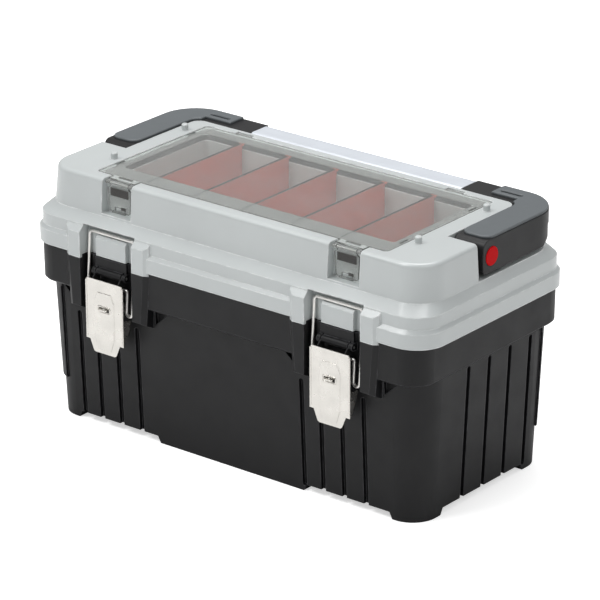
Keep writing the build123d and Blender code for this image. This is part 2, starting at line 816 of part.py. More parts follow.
def organiser_wells(grow):
    """Seat of the cover, opening in the shelf down to the rebate, and the tub itself; square outside."""
    seat_half = cover_length / 2 + seat_gap
    rounded = 0 if grow else 1
    with BuildPart() as wells:
        add(organiser_cut(seat_half + grow, well_front_y - grow, well_back_y + grow,
                          rounded * (cover_corner_r + seat_gap), seat_z - grow))
        add(organiser_cut(seat_half - seat_width + grow, well_front_y + seat_width - grow,
                          well_back_y - seat_width + grow, rounded * cover_corner_r, shelf_z - grow))
        add(organiser_cut(opening_half + grow, opening_front_y - grow, opening_back_y + grow,
                          rounded * (tub_corner_r + rebate_width), rebate_z - grow))
        add(organiser_cut(tub_half + grow, tub_front_y - grow, tub_back_y + grow, rounded * tub_corner_r,
                          tub_floor_z - grow))
    return wells.part


def cover_hinge_pocket(x, grow):
    """Pocket in the lid behind the cover for one hinge barrel."""
    half = cover_barrel_length / 2 + running_gap + grow
    behind_y = cover_hinge_y + cover_barrel_r + cover_hinge_gap + grow
    return box_between(x - half, x + half, well_back_y - 1, behind_y,
                       cover_hinge_z - cover_barrel_r - running_gap - grow, lid_top_z + 1)


def handle_recess(grow):
    """Space for the folded handle: bar channel, arm channels, and deep wells round the pivots."""
    channel_y = handle_back_y - stub_depth - recess_gap - grow
    reach = half_length + far
    with BuildPart() as recess:
        with BuildSketch(Plane.XY.offset(bar_floor_z - grow)) as plan:
            with BuildLine():
                Polyline((-reach, well_half_y - 1), (grow - recess_inner_x, well_half_y - 1),
                         (grow - recess_inner_x, channel_y), (recess_inner_x - grow, channel_y),
                         (recess_inner_x - grow, well_half_y - 1), (reach, well_half_y - 1),
                         (reach, handle_back_y + far), (-reach, handle_back_y + far), close=True)
            make_face()
            inner_corners = plan.vertices().filter_by(lambda v: abs(v.Y - channel_y) < 0.01)
            fillet(inner_corners, inner_corner_r - recess_gap - grow)
        extrude(amount=lid_top_z + 1 - bar_floor_z + grow)
        for way in (-1, 1):
            inner = way * (recess_inner_x - grow)
            cheek = way * (handle_outer_x - skin - cheek_gap - grow)
            outer = way * reach
            add(box_between(min(inner, outer), max(inner, outer), arm_recess_front_y - grow,
                            well_half_y + grow, well_floor_z - grow, lid_top_z + 1))
            add(box_between(min(cheek, outer), max(cheek, outer), arm_recess_front_y - grow,
                            handle_back_y + far, well_floor_z - grow, lid_top_z + 1))
    return recess.part


def latch_bay(x, grow):
    """Bay in the lid band for one bail, with the lip behind the bail's bar."""
    lip_z = bail_bar_z - wire_r - grow
    deep_y = bay_face_y + lip_depth + grow
    shape = [(-band_depth, seam_z - far), (bay_face_y + grow, seam_z - far), (bay_face_y + grow, lip_z),
             (deep_y, lip_z), (deep_y, band_top_z + grow), (-band_depth, band_top_z + bay_top_slope + grow)]
    return side_profile(shape, x - bay_half_width - grow, x + bay_half_width + grow)


def flap_notch(x, grow):
    """Notch in the front of the tier for one snap flap."""
    return box_between(x - notch_half_width - grow, x + notch_half_width + grow, -band_depth,
                       notch_back_y + grow, notch_floor_z - grow, lid_top_z + 1)


# Inside of the lid, with the organiser, wells, bays and notches left standing
with BuildPart() as lid_hollow:
    add(tapered_block(lid_outline(wall), seam_z - 1, lid_outline(wall), lower_band_top_z - wall))
    inner_band = lid_outline(band_inset + wall)
    add(tapered_block(inner_band, seam_z, inner_band, band_top_z - wall))
    inner_base = outline(tier_base_half - wall, tier_base_front + wall, tier_back - wall,
                         tier_front_r - wall, tier_back_r - wall)
    inner_top = outline(tier_top_half - wall, tier_top_front + wall, tier_back - wall,
                        tier_front_r - wall, tier_back_r - wall)
    add(tapered_block(inner_base, band_top_z - wall - hollow_overlap, inner_top, lid_top_z - wall))
    add(organiser_wells(wall), mode=Mode.SUBTRACT)
    for x in (-cover_barrel_x, cover_barrel_x):
        add(cover_hinge_pocket(x, wall), mode=Mode.SUBTRACT)
    add(handle_recess(wall), mode=Mode.SUBTRACT)
    for x in (-latch_x, latch_x):
        add(latch_bay(x, wall), mode=Mode.SUBTRACT)
        add(flap_notch(x, wall), mode=Mode.SUBTRACT)

# Lid
with BuildPart() as lid:
    add(tapered_block(lid_outline(0), seam_z, lid_outline(0), lower_band_top_z))
    add(tapered_block(lid_outline(0), lower_band_top_z, lid_outline(band_inset), upper_band_z))
    add(tapered_block(lid_outline(band_inset), upper_band_z, lid_outline(band_inset), band_top_z))
    ledge_low = outline(half_length - band_inset, -band_half_y + band_inset, tier_back,
                        lid_corner_r - band_inset, lid_corner_r - band_inset)
    add(tapered_block(ledge_low, band_top_z, tier_base, tier_base_z))
    with BuildPart(mode=Mode.PRIVATE) as tier:
        add(tapered_block(tier_base, tier_base_z, tier_top, lid_top_z))
        fillet(tier.faces().sort_by(Axis.Z)[-1].edges(), tier_edge_r)
    add(tier.part)
    # Latch ridges of the lid, which reach a little below the seam
    for x in (-latch_x, latch_x):
        for way in (-1, 1):
            with BuildPart(mode=Mode.PRIVATE) as ridge:
                inner = x + way * bay_half_width
                outer = x + way * (bay_half_width + ridge_width)
                with BuildSketch(Plane.XY.offset(seam_z - ridge_drop)):
                    with BuildLine():
                        Polyline((inner, tier_base_front), (inner, ridge_front_y),
                                 (outer - way * ridge_bevel_x, ridge_front_y),
                                 (outer, ridge_front_y + ridge_bevel_y), (outer, tier_base_front), close=True)
                    make_face()
                extrude(amount=tier_base_z - seam_z)
                behind_y = -collar_depth / 2 - ridge_lap_gap - running_gap
                side_view = [(ridge_front_y, seam_z - ridge_drop),
                             (ridge_front_y, seam_z + ridge_slope_rise),
                             (ridge_front_y + ridge_slope_back, band_top_z + ridge_top_rise),
                             (tier_base_front, band_top_z + ridge_top_rise),
                             (tier_base_front, seam_z), (behind_y, seam_z), (behind_y, seam_z - ridge_drop)]
                reach = bay_half_width + ridge_width + 1
                add(side_profile(side_view, x - reach, x + reach), mode=Mode.INTERSECT)
            add(ridge.part)
    add(lid_hollow.part, mode=Mode.SUBTRACT)
    # Organiser, with divider slots in the tub's walls and seats for the dividers' tabs on the shelf
    add(organiser_wells(0), mode=Mode.SUBTRACT)
    for x in divider_xs:
        slot_half = divider_sheet / 2 + divider_slot_gap
        add(box_between(x - slot_half, x + slot_half, tub_front_y - divider_slot_depth,
                        tub_back_y + divider_slot_depth, tub_floor_z, rebate_z + 1), mode=Mode.SUBTRACT)
        tab_half = divider_tab_width / 2 + divider_slot_gap
        tab_reach = divider_tab_reach + divider_slot_gap
        add(box_between(x - tab_half, x + tab_half, opening_back_y - 1, opening_back_y + tab_reach,
                        shelf_z - divider_tab_depth, shelf_z + 1), mode=Mode.SUBTRACT)
    # Handle recess, with a boss for each pivot
    add(handle_recess(0), mode=Mode.SUBTRACT)
    for way in (-1, 1):
        ends = (way * (recess_inner_x - wall), way * boss_end_x)
        add(rod_along_x(min(ends), max(ends), 0, pivot_z, boss_r))
        hole = (way * (recess_inner_x + wall), way * (boss_end_x + 1))
        add(rod_along_x(min(hole), max(hole), 0, pivot_z, pivot_pin_r), mode=Mode.SUBTRACT)
    # Latch bays, flap notches, and the way from the seat into each notch
    for x in (-latch_x, latch_x):
        add(latch_bay(x, 0), mode=Mode.SUBTRACT)
        add(flap_notch(x, 0), mode=Mode.SUBTRACT)
        add(box_between(x - notch_half_width, x + notch_half_width, notch_back_y - 1, well_front_y + 1,
                        seat_z, lid_top_z + 1), mode=Mode.SUBTRACT)
        # Catch for the flap
        catch_y = flap_axis_y + flap_sheet / 2 + running_gap
        catch = [(notch_back_y + 1, catch_z - flap_sheet), (catch_y, catch_z - flap_sheet / 2),
                 (catch_y, catch_z + flap_sheet / 2), (notch_back_y + 1, catch_z + 1.5 * flap_sheet)]
        add(side_profile(catch, x - catch_half_width, x + catch_half_width))
    # Pockets for the cover's hinge barrels
    for x in (-cover_barrel_x, cover_barrel_x):
        add(cover_hinge_pocket(x, 0), mode=Mode.SUBTRACT)
        reach = cover_barrel_length / 2 + running_gap + cover_pin_hold
        add(rod_along_x(x - reach, x + reach, cover_hinge_y, cover_hinge_z, cover_pin_r), mode=Mode.SUBTRACT)
    # Pegs beside the cover
    for x in (-peg_x, peg_x):
        for y in peg_ys:
            with BuildPart(mode=Mode.PRIVATE) as peg:
                with BuildSketch(Plane.XY.offset(lid_top_z - 1)):
                    with Locations((x, y)):
                        Circle(peg_r)
                extrude(amount=peg_height + 1)
                chamfer(peg.faces().sort_by(Axis.Z)[-1].edges(), peg_edge)
            add(peg.part)
    # Rear hinge knuckles
    for x in (-hinge_x, hinge_x):
        add(rod_along_x(x - knuckle_length / 2, x + knuckle_length / 2, hinge_y, hinge_z, knuckle_r))
        web = [(band_half_y - lid_web_root, hinge_z), (hinge_y, hinge_z),
               (hinge_y + knuckle_r * 0.7, hinge_z + knuckle_r * 0.7),
               (band_half_y - lid_web_root, hinge_z + knuckle_web_height)]
        add(side_profile(web, x - knuckle_length / 2, x + knuckle_length / 2))
        add(rod_along_x(x - knuckle_length, x + knuckle_length, hinge_y, hinge_z, hinge_rod_r),
            mode=Mode.SUBTRACT)

# Clear cover with hinge barrels at the back, knuckles for the flaps at the front, and ribs underneath
with BuildPart() as clear_cover:
    with BuildSketch(Plane.XY.offset(cover_base_z)):
        add(outline(cover_length / 2, cover_front_y, cover_back_y, cover_corner_r, cover_corner_r))
    extrude(amount=cover_thickness)
    chamfer(clear_cover.faces().sort_by(Axis.Z)[-1].edges(), cover_edge)
    for x in (-latch_x, latch_x):
        knuckle_end = flap_half_width + flap_knuckle_out
        add(box_between(x - knuckle_end, x + knuckle_end, flap_axis_y + flap_barrel_r + 3 * running_gap,
                        cover_front_y + 1, cover_base_z, lid_top_z))
        for way in (-1, 1):
            sides = (x + way * (knuckle_end - flap_knuckle), x + way * knuckle_end)
            add(rod_along_x(min(sides), max(sides), flap_axis_y, flap_axis_z, flap_barrel_r))
            add(box_between(min(sides), max(sides), flap_axis_y, notch_back_y - running_gap,
                            flap_axis_z, flap_axis_z + flap_barrel_r))
        add(rod_along_x(x - knuckle_end - 1, x + knuckle_end + 1, flap_axis_y, flap_axis_z, flap_pin_r),
            mode=Mode.SUBTRACT)
        # Slot behind each flap
        with BuildSketch(Plane.XY.offset(lid_top_z)):
            with Locations((x, cover_front_y - cover_slot_width / 2)):
                Rectangle(cover_slot_length, cover_slot_width)
        extrude(amount=-cover_thickness - 1, mode=Mode.SUBTRACT)
    for x in (-cover_barrel_x, cover_barrel_x):
        half = cover_barrel_length / 2
        add(rod_along_x(x - half, x + half, cover_hinge_y, cover_hinge_z, cover_barrel_r))
        add(box_between(x - half, x + half, cover_back_y - 1, cover_hinge_y, cover_base_z,
                        cover_hinge_z + cover_barrel_r))
        add(rod_along_x(x - half - 1, x + half + 1, cover_hinge_y, cover_hinge_z, cover_pin_r + pin_gap),
            mode=Mode.SUBTRACT)
    # Ribs that run over the dividers
    for x in divider_xs:
        add(box_between(x - cover_rib_width / 2, x + cover_rib_width / 2, cover_front_y + cover_rib_front_step,
                        tub_back_y - divider_slot_depth, cover_base_z - cover_rib_height, cover_base_z))
    # Edge slots beside the pegs
    for way in (-1, 1):
        for y in peg_ys:
            with BuildSketch(Plane.XY.offset(lid_top_z)):
                with Locations((way * (cover_length / 2 - peg_r), y - 1.5 * peg_r)):
                    Rectangle(cover_slot_width, peg_slot_length)
            extrude(amount=-cover_thickness / 2, mode=Mode.SUBTRACT)

with BuildPart() as cover_hinge_pins:
    for x in (-cover_barrel_x, cover_barrel_x):
        reach = cover_barrel_length / 2 + running_gap + cover_pin_hold
        add(rod_along_x(x - reach, x + reach, cover_hinge_y, cover_hinge_z, cover_pin_r))

with BuildPart() as flap_pins:
    for x in (-latch_x, latch_x):
        reach = flap_half_width + flap_knuckle_out
        add(rod_along_x(x - reach, x + reach, flap_axis_y, flap_axis_z, flap_pin_r))


def make_flap(x):
    """Clear snap flap that hangs in its notch, with a window over the catch and a finger lip."""
    front_y = flap_axis_y - flap_sheet / 2
    neck = flap_half_width - flap_shoulder
    with BuildPart() as flap:
        face = Plane((x, front_y + flap_sheet, 0), x_dir=(1, 0, 0), z_dir=(0, -1, 0))
        with BuildSketch(face) as plate:
            with BuildLine():
                Polyline((-neck, flap_axis_z), (neck, flap_axis_z), (neck, flap_axis_z - 2 * flap_sheet),
                         (flap_half_width, flap_axis_z - 3 * flap_sheet),
                         (flap_half_width - flap_sheet, flap_bottom_z),
                         (flap_sheet - flap_half_width, flap_bottom_z),
                         (-flap_half_width, flap_axis_z - 3 * flap_sheet), (-neck, flap_axis_z - 2 * flap_sheet),
                         close=True)
            make_face()
            chamfer(plate.vertices().group_by(Axis.Y)[0], flap_sheet)
            with Locations((0, catch_z)):
                Rectangle(window_length, window_height, mode=Mode.SUBTRACT)
        extrude(amount=flap_sheet)
        add(rod_along_x(x - neck, x + neck, flap_axis_y, flap_axis_z, flap_barrel_r))
        lip = [(front_y, flap_bottom_z), (front_y - flap_sheet, flap_bottom_z - flap_sheet / 4),
               (front_y - flap_sheet, flap_bottom_z + flap_sheet / 4),
               (front_y, flap_bottom_z + flap_sheet * 0.7)]
        add(side_profile(lip, x - neck + 2 * flap_sheet, x + neck - 2 * flap_sheet))
        add(rod_along_x(x - flap_half_width, x + flap_half_width, flap_axis_y, flap_axis_z,
                        flap_pin_r + pin_gap), mode=Mode.SUBTRACT)
    return flap.part


flaps = {"left_snap_flap": make_flap(-latch_x), "right_snap_flap": make_flap(latch_x)}


def make_divider(x):
    """Loose divider plate with a tab on the back shelf."""
    reach = divider_slot_depth - divider_slot_gap
    half = divider_sheet / 2
    tab_half = divider_tab_width / 2
    with BuildPart() as divider:
        add(box_between(x - half, x + half, tub_front_y - reach, tub_back_y + reach,
                        tub_floor_z + divider_slot_gap, divider_top_z))
        add(box_between(x - tab_half, x + tab_half, tub_back_y, opening_back_y + divider_tab_reach,
                        shelf_z - divider_tab_depth + divider_slot_gap, shelf_z + divider_slot_gap))
    return divider.part


dividers = {f"divider_{i + 1}": make_divider(x) for i, x in enumerate(divider_xs)}


def bracket_outline(inset):
    """Plan of the right bracket: arm, rounded corner and stub."""
    outer = handle_outer_x - inset
    back = handle_back_y - inset
    with BuildSketch() as sketch:
        with BuildLine():
            Polyline((bracket_inner_x + inset, arm_front_y + inset), (outer, arm_front_y + inset),
                     (outer, back), (stub_end_x, back), (stub_end_x, handle_back_y - stub_depth + inset),
                     (bracket_inner_x + inset, handle_back_y - stub_depth + inset), close=True)
        make_face()
        corner = sketch.vertices().sort_by(lambda v: v.X + v.Y)[-1]
        fillet(corner, handle_corner_r - inset)
        inner = sketch.vertices().sort_by_distance((bracket_inner_x, handle_back_y - stub_depth, 0))[0]
        fillet(inner, inner_corner_r + inset)
    return sketch.sketch


def make_right_bracket():
    """Right bracket of the handle: a skirted arm with a pivot hub, and a stub for the grip bar."""
    with BuildPart() as bracket:
        with BuildSketch(Plane.XY.offset(arm_bottom_z)):
            add(bracket_outline(0))
        extrude(amount=bracket_top_z - arm_bottom_z)
        # Side view: rounded nose, and a skirt that runs out at the corner
        skirt_end_y = handle_back_y - skirt_run_out
        with BuildSketch(Plane.YZ.offset(stub_end_x - 1)) as side_view:
            with BuildLine():
                Polyline((arm_front_y, arm_bottom_z), (skirt_end_y, arm_bottom_z),
                         (handle_back_y - corner_run_out, arm_bottom_z + corner_rise),
                         (handle_back_y - stub_run_out, bar_bottom_z),
                         (handle_back_y + 1, bar_bottom_z), (handle_back_y + 1, bracket_top_z),
                         (arm_front_y, bracket_top_z), close=True)
            make_face()
            fillet(side_view.vertices().sort_by_distance((arm_front_y, arm_bottom_z, 0))[0], nose_low_r)
            fillet(side_view.vertices().sort_by_distance((arm_front_y, bracket_top_z, 0))[0], nose_top_r)
        extrude(amount=handle_outer_x - stub_end_x + 2, mode=Mode.INTERSECT)
        # Hollow arm: outer cheek, short inner skirt, front wall and top skin
        hollow_front_y = arm_front_y + skin
        hollow_back_y = skirt_end_y - nose_low_r
        add(box_between(bracket_inner_x + skin, handle_outer_x - skin, hollow_front_y, hollow_back_y,
                        arm_bottom_z - 1, bracket_top_z - skin), mode=Mode.SUBTRACT)
        add(box_between(bracket_inner_x - 1, bracket_inner_x + skin + 1, hollow_front_y, hollow_back_y,
                        arm_bottom_z - 1, inner_skirt_z), mode=Mode.SUBTRACT)
        # Stub and corner end above the channel floor
        add(box_between(stub_end_x - 1, handle_outer_x - skin, hollow_back_y, handle_back_y + 1,
                        arm_bottom_z - 1, bar_bottom_z), mode=Mode.SUBTRACT)
        # Cross ribs inside the arm
        for y in arm_rib_ys:
            add(box_between(bracket_inner_x, handle_outer_x - 1, y, y + arm_rib_sheet,
                            inner_skirt_z - arm_rib_height, bracket_top_z - 1))
        # Pivot hub and the seat of the cap
        add(rod_along_x(boss_end_x + running_gap, handle_outer_x - 1, 0, pivot_z, hub_r))
        add(rod_along_x(boss_end_x - 1, handle_outer_x - skin - cap_seat, 0, pivot_z,
                        pivot_pin_r + pin_gap / 2), mode=Mode.SUBTRACT)
        add(rod_along_x(handle_outer_x - cap_seat, handle_outer_x + 1, 0, pivot_z, cap_r),
            mode=Mode.SUBTRACT)
        # Socket for the tongue of the grip bar
        add(box_between(stub_end_x - 1, stub_end_x + tongue_length + 1,
                        handle_back_y - tongue_back - tongue_width, handle_back_y - tongue_back,
                        bar_bottom_z + tongue_lift,
                        bar_bottom_z + tongue_lift + tongue_height_z), mode=Mode.SUBTRACT)
    return bracket.part


def make_right_arm_cover():
    """Grey top layer of the right bracket, stepped down to the bare stub, with a slot at the corner."""
    middle_x = handle_outer_x - arm_width / 2
    with BuildPart() as top_cover:
        with BuildSketch(Plane.XY.offset(bracket_top_z)) as layer:
            add(bracket_outline(top_cover_margin))
            with Locations((stub_end_x, handle_back_y - far / 2)):
                Rectangle(2 * (top_cover_end_x - stub_end_x), 2 * far, mode=Mode.SUBTRACT)
            with Locations(((bracket_inner_x + stub_end_x) / 2, bar_front_y + 1)):
                Rectangle(bracket_inner_x - stub_end_x - top_cover_step, top_cover_step, mode=Mode.SUBTRACT)
            with Locations((middle_x, top_cover_front_y - far / 2)):
                Rectangle(arm_width + 2, far, mode=Mode.SUBTRACT)
            fillet(layer.vertices().group_by(Axis.Y)[0], top_cover_nose_r)
            with Locations(((top_cover_end_x + bracket_inner_x) / 2, handle_back_y - stub_depth / 2)):
                SlotOverall(finger_slot_length, finger_slot_width, mode=Mode.SUBTRACT)
        extrude(amount=top_cover_thickness)
        chamfer(top_cover.faces().sort_by(Axis.Z)[-1].edges(), top_cover_edge)
    return top_cover.part


def make_cap(way):
    """Round cap over the pivot in the outer cheek."""
    ends = (way * (handle_outer_x - cap_seat), way * (handle_outer_x - cap_seat + cap_thickness))
    with BuildPart() as cap:
        add(rod_along_x(min(ends), max(ends), 0, pivot_z, cap_r - pin_gap))
        outer_face = cap.faces().sort_by(Axis.X)[-1 if way > 0 else 0]
        chamfer(outer_face.edges(), cap_edge)
    return cap.part


right_bracket = make_right_bracket()
right_arm_cover = make_right_arm_cover()

# Grip bar: hollow from below with cross ribs, a crowned top and a tongue at each end
with BuildPart() as grip_bar:
    with BuildSketch(Plane.YZ.offset(running_gap - stub_end_x)):
        with Locations((handle_back_y - stub_depth / 2, (bar_bottom_z + bracket_top_z) / 2)):
            RectangleRounded(stub_depth, bracket_top_z - bar_bottom_z, grip_edge_r)
    extrude(amount=2 * (stub_end_x - running_gap))
    add(box_between(grip_end_wall - stub_end_x, stub_end_x - grip_end_wall, bar_front_y + wall,
                    handle_back_y - wall, bar_bottom_z - 1, bracket_top_z - wall), mode=Mode.SUBTRACT)
    for i in range(grip_rib_count):
        rib_x = (i - (grip_rib_count - 1) / 2) * grip_rib_pitch
        add(box_between(rib_x - grip_rib_sheet / 2, rib_x + grip_rib_sheet / 2, bar_front_y + 1,
                        handle_back_y - 1, bar_bottom_z + wall, bracket_top_z - 1))
    for way in (-1, 1):
        ends = (way * (stub_end_x - grip_end_wall / 2), way * (stub_end_x + tongue_length))
        add(box_between(min(ends), max(ends), handle_back_y - tongue_back - tongue_width + grip_tongue_gap,
                        handle_back_y - tongue_back - grip_tongue_gap,
                        bar_bottom_z + tongue_lift + grip_tongue_gap,
                        bar_bottom_z + tongue_lift + tongue_height_z - grip_tongue_gap))

# Pivot pins, held in the bosses of the lid
with BuildPart() as handle_pivot_pins:
    for way in (-1, 1):
        ends = (way * (recess_inner_x + wall), way * (handle_outer_x - skin - 1.5 * cap_seat))
        add(rod_along_x(min(ends), max(ends), 0, pivot_z, pivot_pin_r))

# Screws that hold the tongues of the grip bar, from below
with BuildPart() as grip_screws:
    with BuildSketch(Plane.XY.offset(bar_bottom_z - screw_head)):
        with Locations(*[(way * (stub_end_x + screw_step), handle_back_y - tongue_back - tongue_width / 2)
                         for way in (-1, 1)]):
            Circle(screw_r)
    extrude(amount=screw_head)

pieces = {
    "bin": bin_shell.part,
    "lid": lid.part,
    "lid_hinge_rods": lid_hinge_rods.part,
    "clear_cover": clear_cover.part,
    "cover_hinge_pins": cover_hinge_pins.part,
    "flap_pins": flap_pins.part,
    **flaps,
    **dividers,
    "right_handle_bracket": right_bracket,
    "left_handle_bracket": mirror(right_bracket, about=Plane.YZ),
    "right_arm_cover": right_arm_cover,
    "left_arm_cover": mirror(right_arm_cover, about=Plane.YZ),
    "grip_bar": grip_bar.part,
    "right_pivot_cap": make_cap(1),
    "left_pivot_cap": make_cap(-1),
    "handle_pivot_pins": handle_pivot_pins.part,
    "grip_screws": grip_screws.part,
    **levers,
    **leaves,
    **bails,
    "lever_pins": lever_pins.part,
    "padlock_staples": padlock_staples.part,
    "staple_rivets": staple_rivets.part,
}

for name, piece in pieces.items():
    piece.label = name
    export_step(piece, f"parts/{name}.step")
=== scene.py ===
import json
from math import radians

import bmesh
import bpy
from mathutils import Matrix, Vector


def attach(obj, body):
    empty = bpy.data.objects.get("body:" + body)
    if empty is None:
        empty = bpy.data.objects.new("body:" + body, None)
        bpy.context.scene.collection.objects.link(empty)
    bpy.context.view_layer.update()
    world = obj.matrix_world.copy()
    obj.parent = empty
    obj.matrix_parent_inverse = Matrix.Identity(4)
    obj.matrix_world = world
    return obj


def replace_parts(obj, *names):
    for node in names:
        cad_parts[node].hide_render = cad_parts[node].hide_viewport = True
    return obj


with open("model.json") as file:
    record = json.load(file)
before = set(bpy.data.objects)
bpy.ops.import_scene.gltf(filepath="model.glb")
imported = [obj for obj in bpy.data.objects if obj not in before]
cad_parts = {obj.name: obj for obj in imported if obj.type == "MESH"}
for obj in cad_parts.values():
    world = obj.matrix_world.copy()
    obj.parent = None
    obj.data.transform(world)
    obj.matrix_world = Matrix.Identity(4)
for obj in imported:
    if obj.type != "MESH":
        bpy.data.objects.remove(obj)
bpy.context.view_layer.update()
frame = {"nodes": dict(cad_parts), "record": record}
nodes = frame["nodes"]
MM = 0.001

# Camera fitted to the photograph: the point it looks at and its distance in metres, the way it stands
# from there and its roll in degrees, and its lens from a focal length and a picture width in pixels
CAMERA_TARGET = (0.0, 0.00703, 0.16047)
CAMERA_DISTANCE = 4.34764
CAMERA_AZIMUTH = 38.5856
CAMERA_ELEVATION = 21.9014
CAMERA_ROLL = -0.1778
CAMERA_REACH = 50.0
FOCAL_PIXELS = 3877.8
FRAME_PIXELS = 600
SENSOR_MM = 36.0


def box_of(node):
    """Lowest and highest corner of a CAD node, in millimetres."""
    corners = [tuple(c / MM for c in corner) for corner in nodes[node].bound_box]
    return Vector([min(c) for c in zip(*corners)]), Vector([max(c) for c in zip(*corners)])


# Latches, in millimetres
PANEL_HEIGHT = 0.8
PLATE_HEIGHT = 73.0
SLOT_DROP = 33.0
lever_low, lever_high = box_of("right_latch_lever")
LATCH_X = (lever_low.x + lever_high.x) / 2
LEVER_HALF = (lever_high.x - lever_low.x) / 2
LEVER_TOP_Z = lever_high.z
LEVER_SHOULDER_Z = LEVER_TOP_Z - PLATE_HEIGHT
LEVER_FACE_Y = lever_low.y + PANEL_HEIGHT
SLOT_Z = LEVER_TOP_Z - SLOT_DROP
SEAM_Z = 212.0
BAY_FACE_Y = -124.5

# Organiser and cover, in millimetres
SHELF_Z = 295.9
SHELF_HALF = 200.0
SHELF_FRONT_Y = -97.1
SHELF_BACK_Y = 88.3
OPENING_HALF = 191.3
OPENING_FRONT_Y = -72.0
OPENING_BACK_Y = 74.0
COVER_BASE_Z = 297.0
COVER_FRONT_Y = -100.8
DIVIDERS = [f"divider_{number}" for number in range(1, 6)]

SIDES = (("left", -1), ("right", 1))
WHITE = (1.0, 1.0, 1.0, 1.0)


def feed(tree, socket, value):
    """Links a socket to another one, or gives it a plain value."""
    if isinstance(value, bpy.types.NodeSocket):
        tree.links.new(value, socket)
    else:
        socket.default_value = value


def add_node(tree, kind, inputs=None, **settings):
    """New node with its settings, and its inputs linked or set; a list links several to one input."""
    made = tree.nodes.new(kind)
    for key, value in settings.items():
        setattr(made, key, value)
    for key, value in (inputs or {}).items():
        for one in value if isinstance(value, list) else [value]:
            feed(tree, made.inputs[key], one)
    return made


def seen_directly(tree):
    """1 for what the eye sees at once or through clear plastic, else 0."""
    path = add_node(tree, "ShaderNodeLightPath").outputs
    return add_node(tree, "ShaderNodeMath", {0: path["Is Camera Ray"], 1: path["Is Transmission Ray"]},
                    operation="MAXIMUM").outputs["Value"]


def mix_shaders(tree, share, first, second):
    """First shader, with a share of the second one."""
    return add_node(tree, "ShaderNodeMixShader", {0: share, 1: first, 2: second}).outputs["Shader"]


def srgb(r, g, b):
    """Linear colour for red, green and blue from 0 to 255."""
    def linear(c):
        c /= 255
        return c / 12.92 if c <= 0.04045 else ((c + 0.055) / 1.055) ** 2.4
    return (linear(r), linear(g), linear(b), 1.0)


def deeper(colour, share):
    """Colour brought down to a share of itself."""
    return tuple(c * share for c in colour[:3]) + (1.0,)


class Shading:
    """Node tree of one material, with short calls for the nodes that the finishes share."""

    def __init__(self, name):
        self.material = bpy.data.materials.new(name)
        self.material.use_nodes = True
        self.tree = self.material.node_tree
        self.tree.nodes.clear()
        self.output = self.tree.nodes.new("ShaderNodeOutputMaterial")
        self.coordinates = self.tree.nodes.new("ShaderNodeTexCoord")

    def node(self, kind, inputs=None, **settings):
        """New node of this material."""
        return add_node(self.tree, kind, inputs, **settings)

    def noise(self, size, detail=2.0, stretch=(1.0, 1.0, 1.0)):
        """Noise whose blobs are about size metres across, in object coordinates."""
        place = self.node("ShaderNodeMapping",
                          {"Vector": self.coordinates.outputs["Object"], "Scale": stretch}).outputs["Vector"]
        return self.node("ShaderNodeTexNoise",
                         {"Vector": place, "Scale": 1.0 / size, "Detail": detail}).outputs["Fac"]

    def spread(self, value, low, high, from_low=0.3, from_high=0.7):
        """Value moved from one range to another."""
        return self.node("ShaderNodeMapRange", {"Value": value, "From Min": from_low, "From Max": from_high,
                                                "To Min": low, "To Max": high}).outputs["Result"]

    def product(self, a, b):
        """One value times another."""
        return self.node("ShaderNodeMath", {0: a, 1: b}, operation="MULTIPLY").outputs["Value"]

    def blend(self, share, a, b):
        """First colour, with a share of the second one."""
        mix = self.node("ShaderNodeMix", data_type="RGBA")
        for key, value in (("Factor", share), ("A", a), ("B", b)):
            feed(self.tree, next(s for s in mix.inputs if s.name == key and s.enabled), value)
        return next(s for s in mix.outputs if s.enabled)

    def edges(self, radius):
        """Normal of rounded edges, and a mask that is 1 along them."""
        rounded = self.node("ShaderNodeBevel", {"Radius": radius}, samples=6).outputs["Normal"]
        plain = self.node("ShaderNodeNewGeometry").outputs["Normal"]
        cosine = self.node("ShaderNodeVectorMath", {0: rounded, 1: plain},
                           operation="DOT_PRODUCT").outputs["Value"]
        return rounded, self.spread(cosine, 1.0, 0.0, from_low=0.88, from_high=0.995)

    def bump(self, height, depth, normal):
        """Normal of fine relief, so many metres deep, on top of another normal."""
        return self.node("ShaderNodeBump", {"Height": height, "Distance": depth,
                                            "Normal": normal}).outputs["Normal"]

    def principled(self, **inputs):
        """Surface with the named inputs, such as base_color or coat_weight."""
        named = {key.replace("_", " ").title().replace("Ior", "IOR"): value for key, value in inputs.items()}
        return self.node("ShaderNodeBsdfPrincipled", named).outputs["BSDF"]

    def finish(self, shader):
        """Material with this surface."""
        self.tree.links.new(shader, self.output.inputs["Surface"])
        return self.material


def moulded_plastic(name, colour, scuff_and_highlight, roughness, grain_size, grain_depth, edge_radius, specular=0.5,
                    rubbed_and_highlit=0.45, coat=0.0):
    """Injection-moulded plastic: spark-eroded grain, uneven gloss, and edges lighter from wear and from a
    painted highlight.
    """
    mottle_size = 90 * MM
    gloss_size = 30 * MM
    wear_and_highlight_size = 12 * MM
    s = Shading(name)
    normal, edge = s.edges(edge_radius)
    mottle = s.spread(s.noise(mottle_size, detail=3.0), 0.0, 1.0)
    body = s.blend(mottle, deeper(colour, 0.94), colour)
    # Edges lighter in patches: partly wear, partly a painted highlight along the rounded edges.
    wear_and_highlight = s.spread(s.noise(wear_and_highlight_size, detail=4.0), 0.3 * rubbed_and_highlit, rubbed_and_highlit, from_low=0.40, from_high=0.62)
    body = s.blend(s.product(edge, wear_and_highlight), body, scuff_and_highlight)
    gloss = s.spread(s.noise(gloss_size, detail=4.0), roughness - 0.04, roughness + 0.05)
    grained = s.bump(s.noise(grain_size), grain_depth, normal)
    return s.finish(s.principled(base_color=body, roughness=gloss, normal=grained, ior=1.49,
                                 specular_ior_level=specular, coat_weight=coat, coat_roughness=0.16))


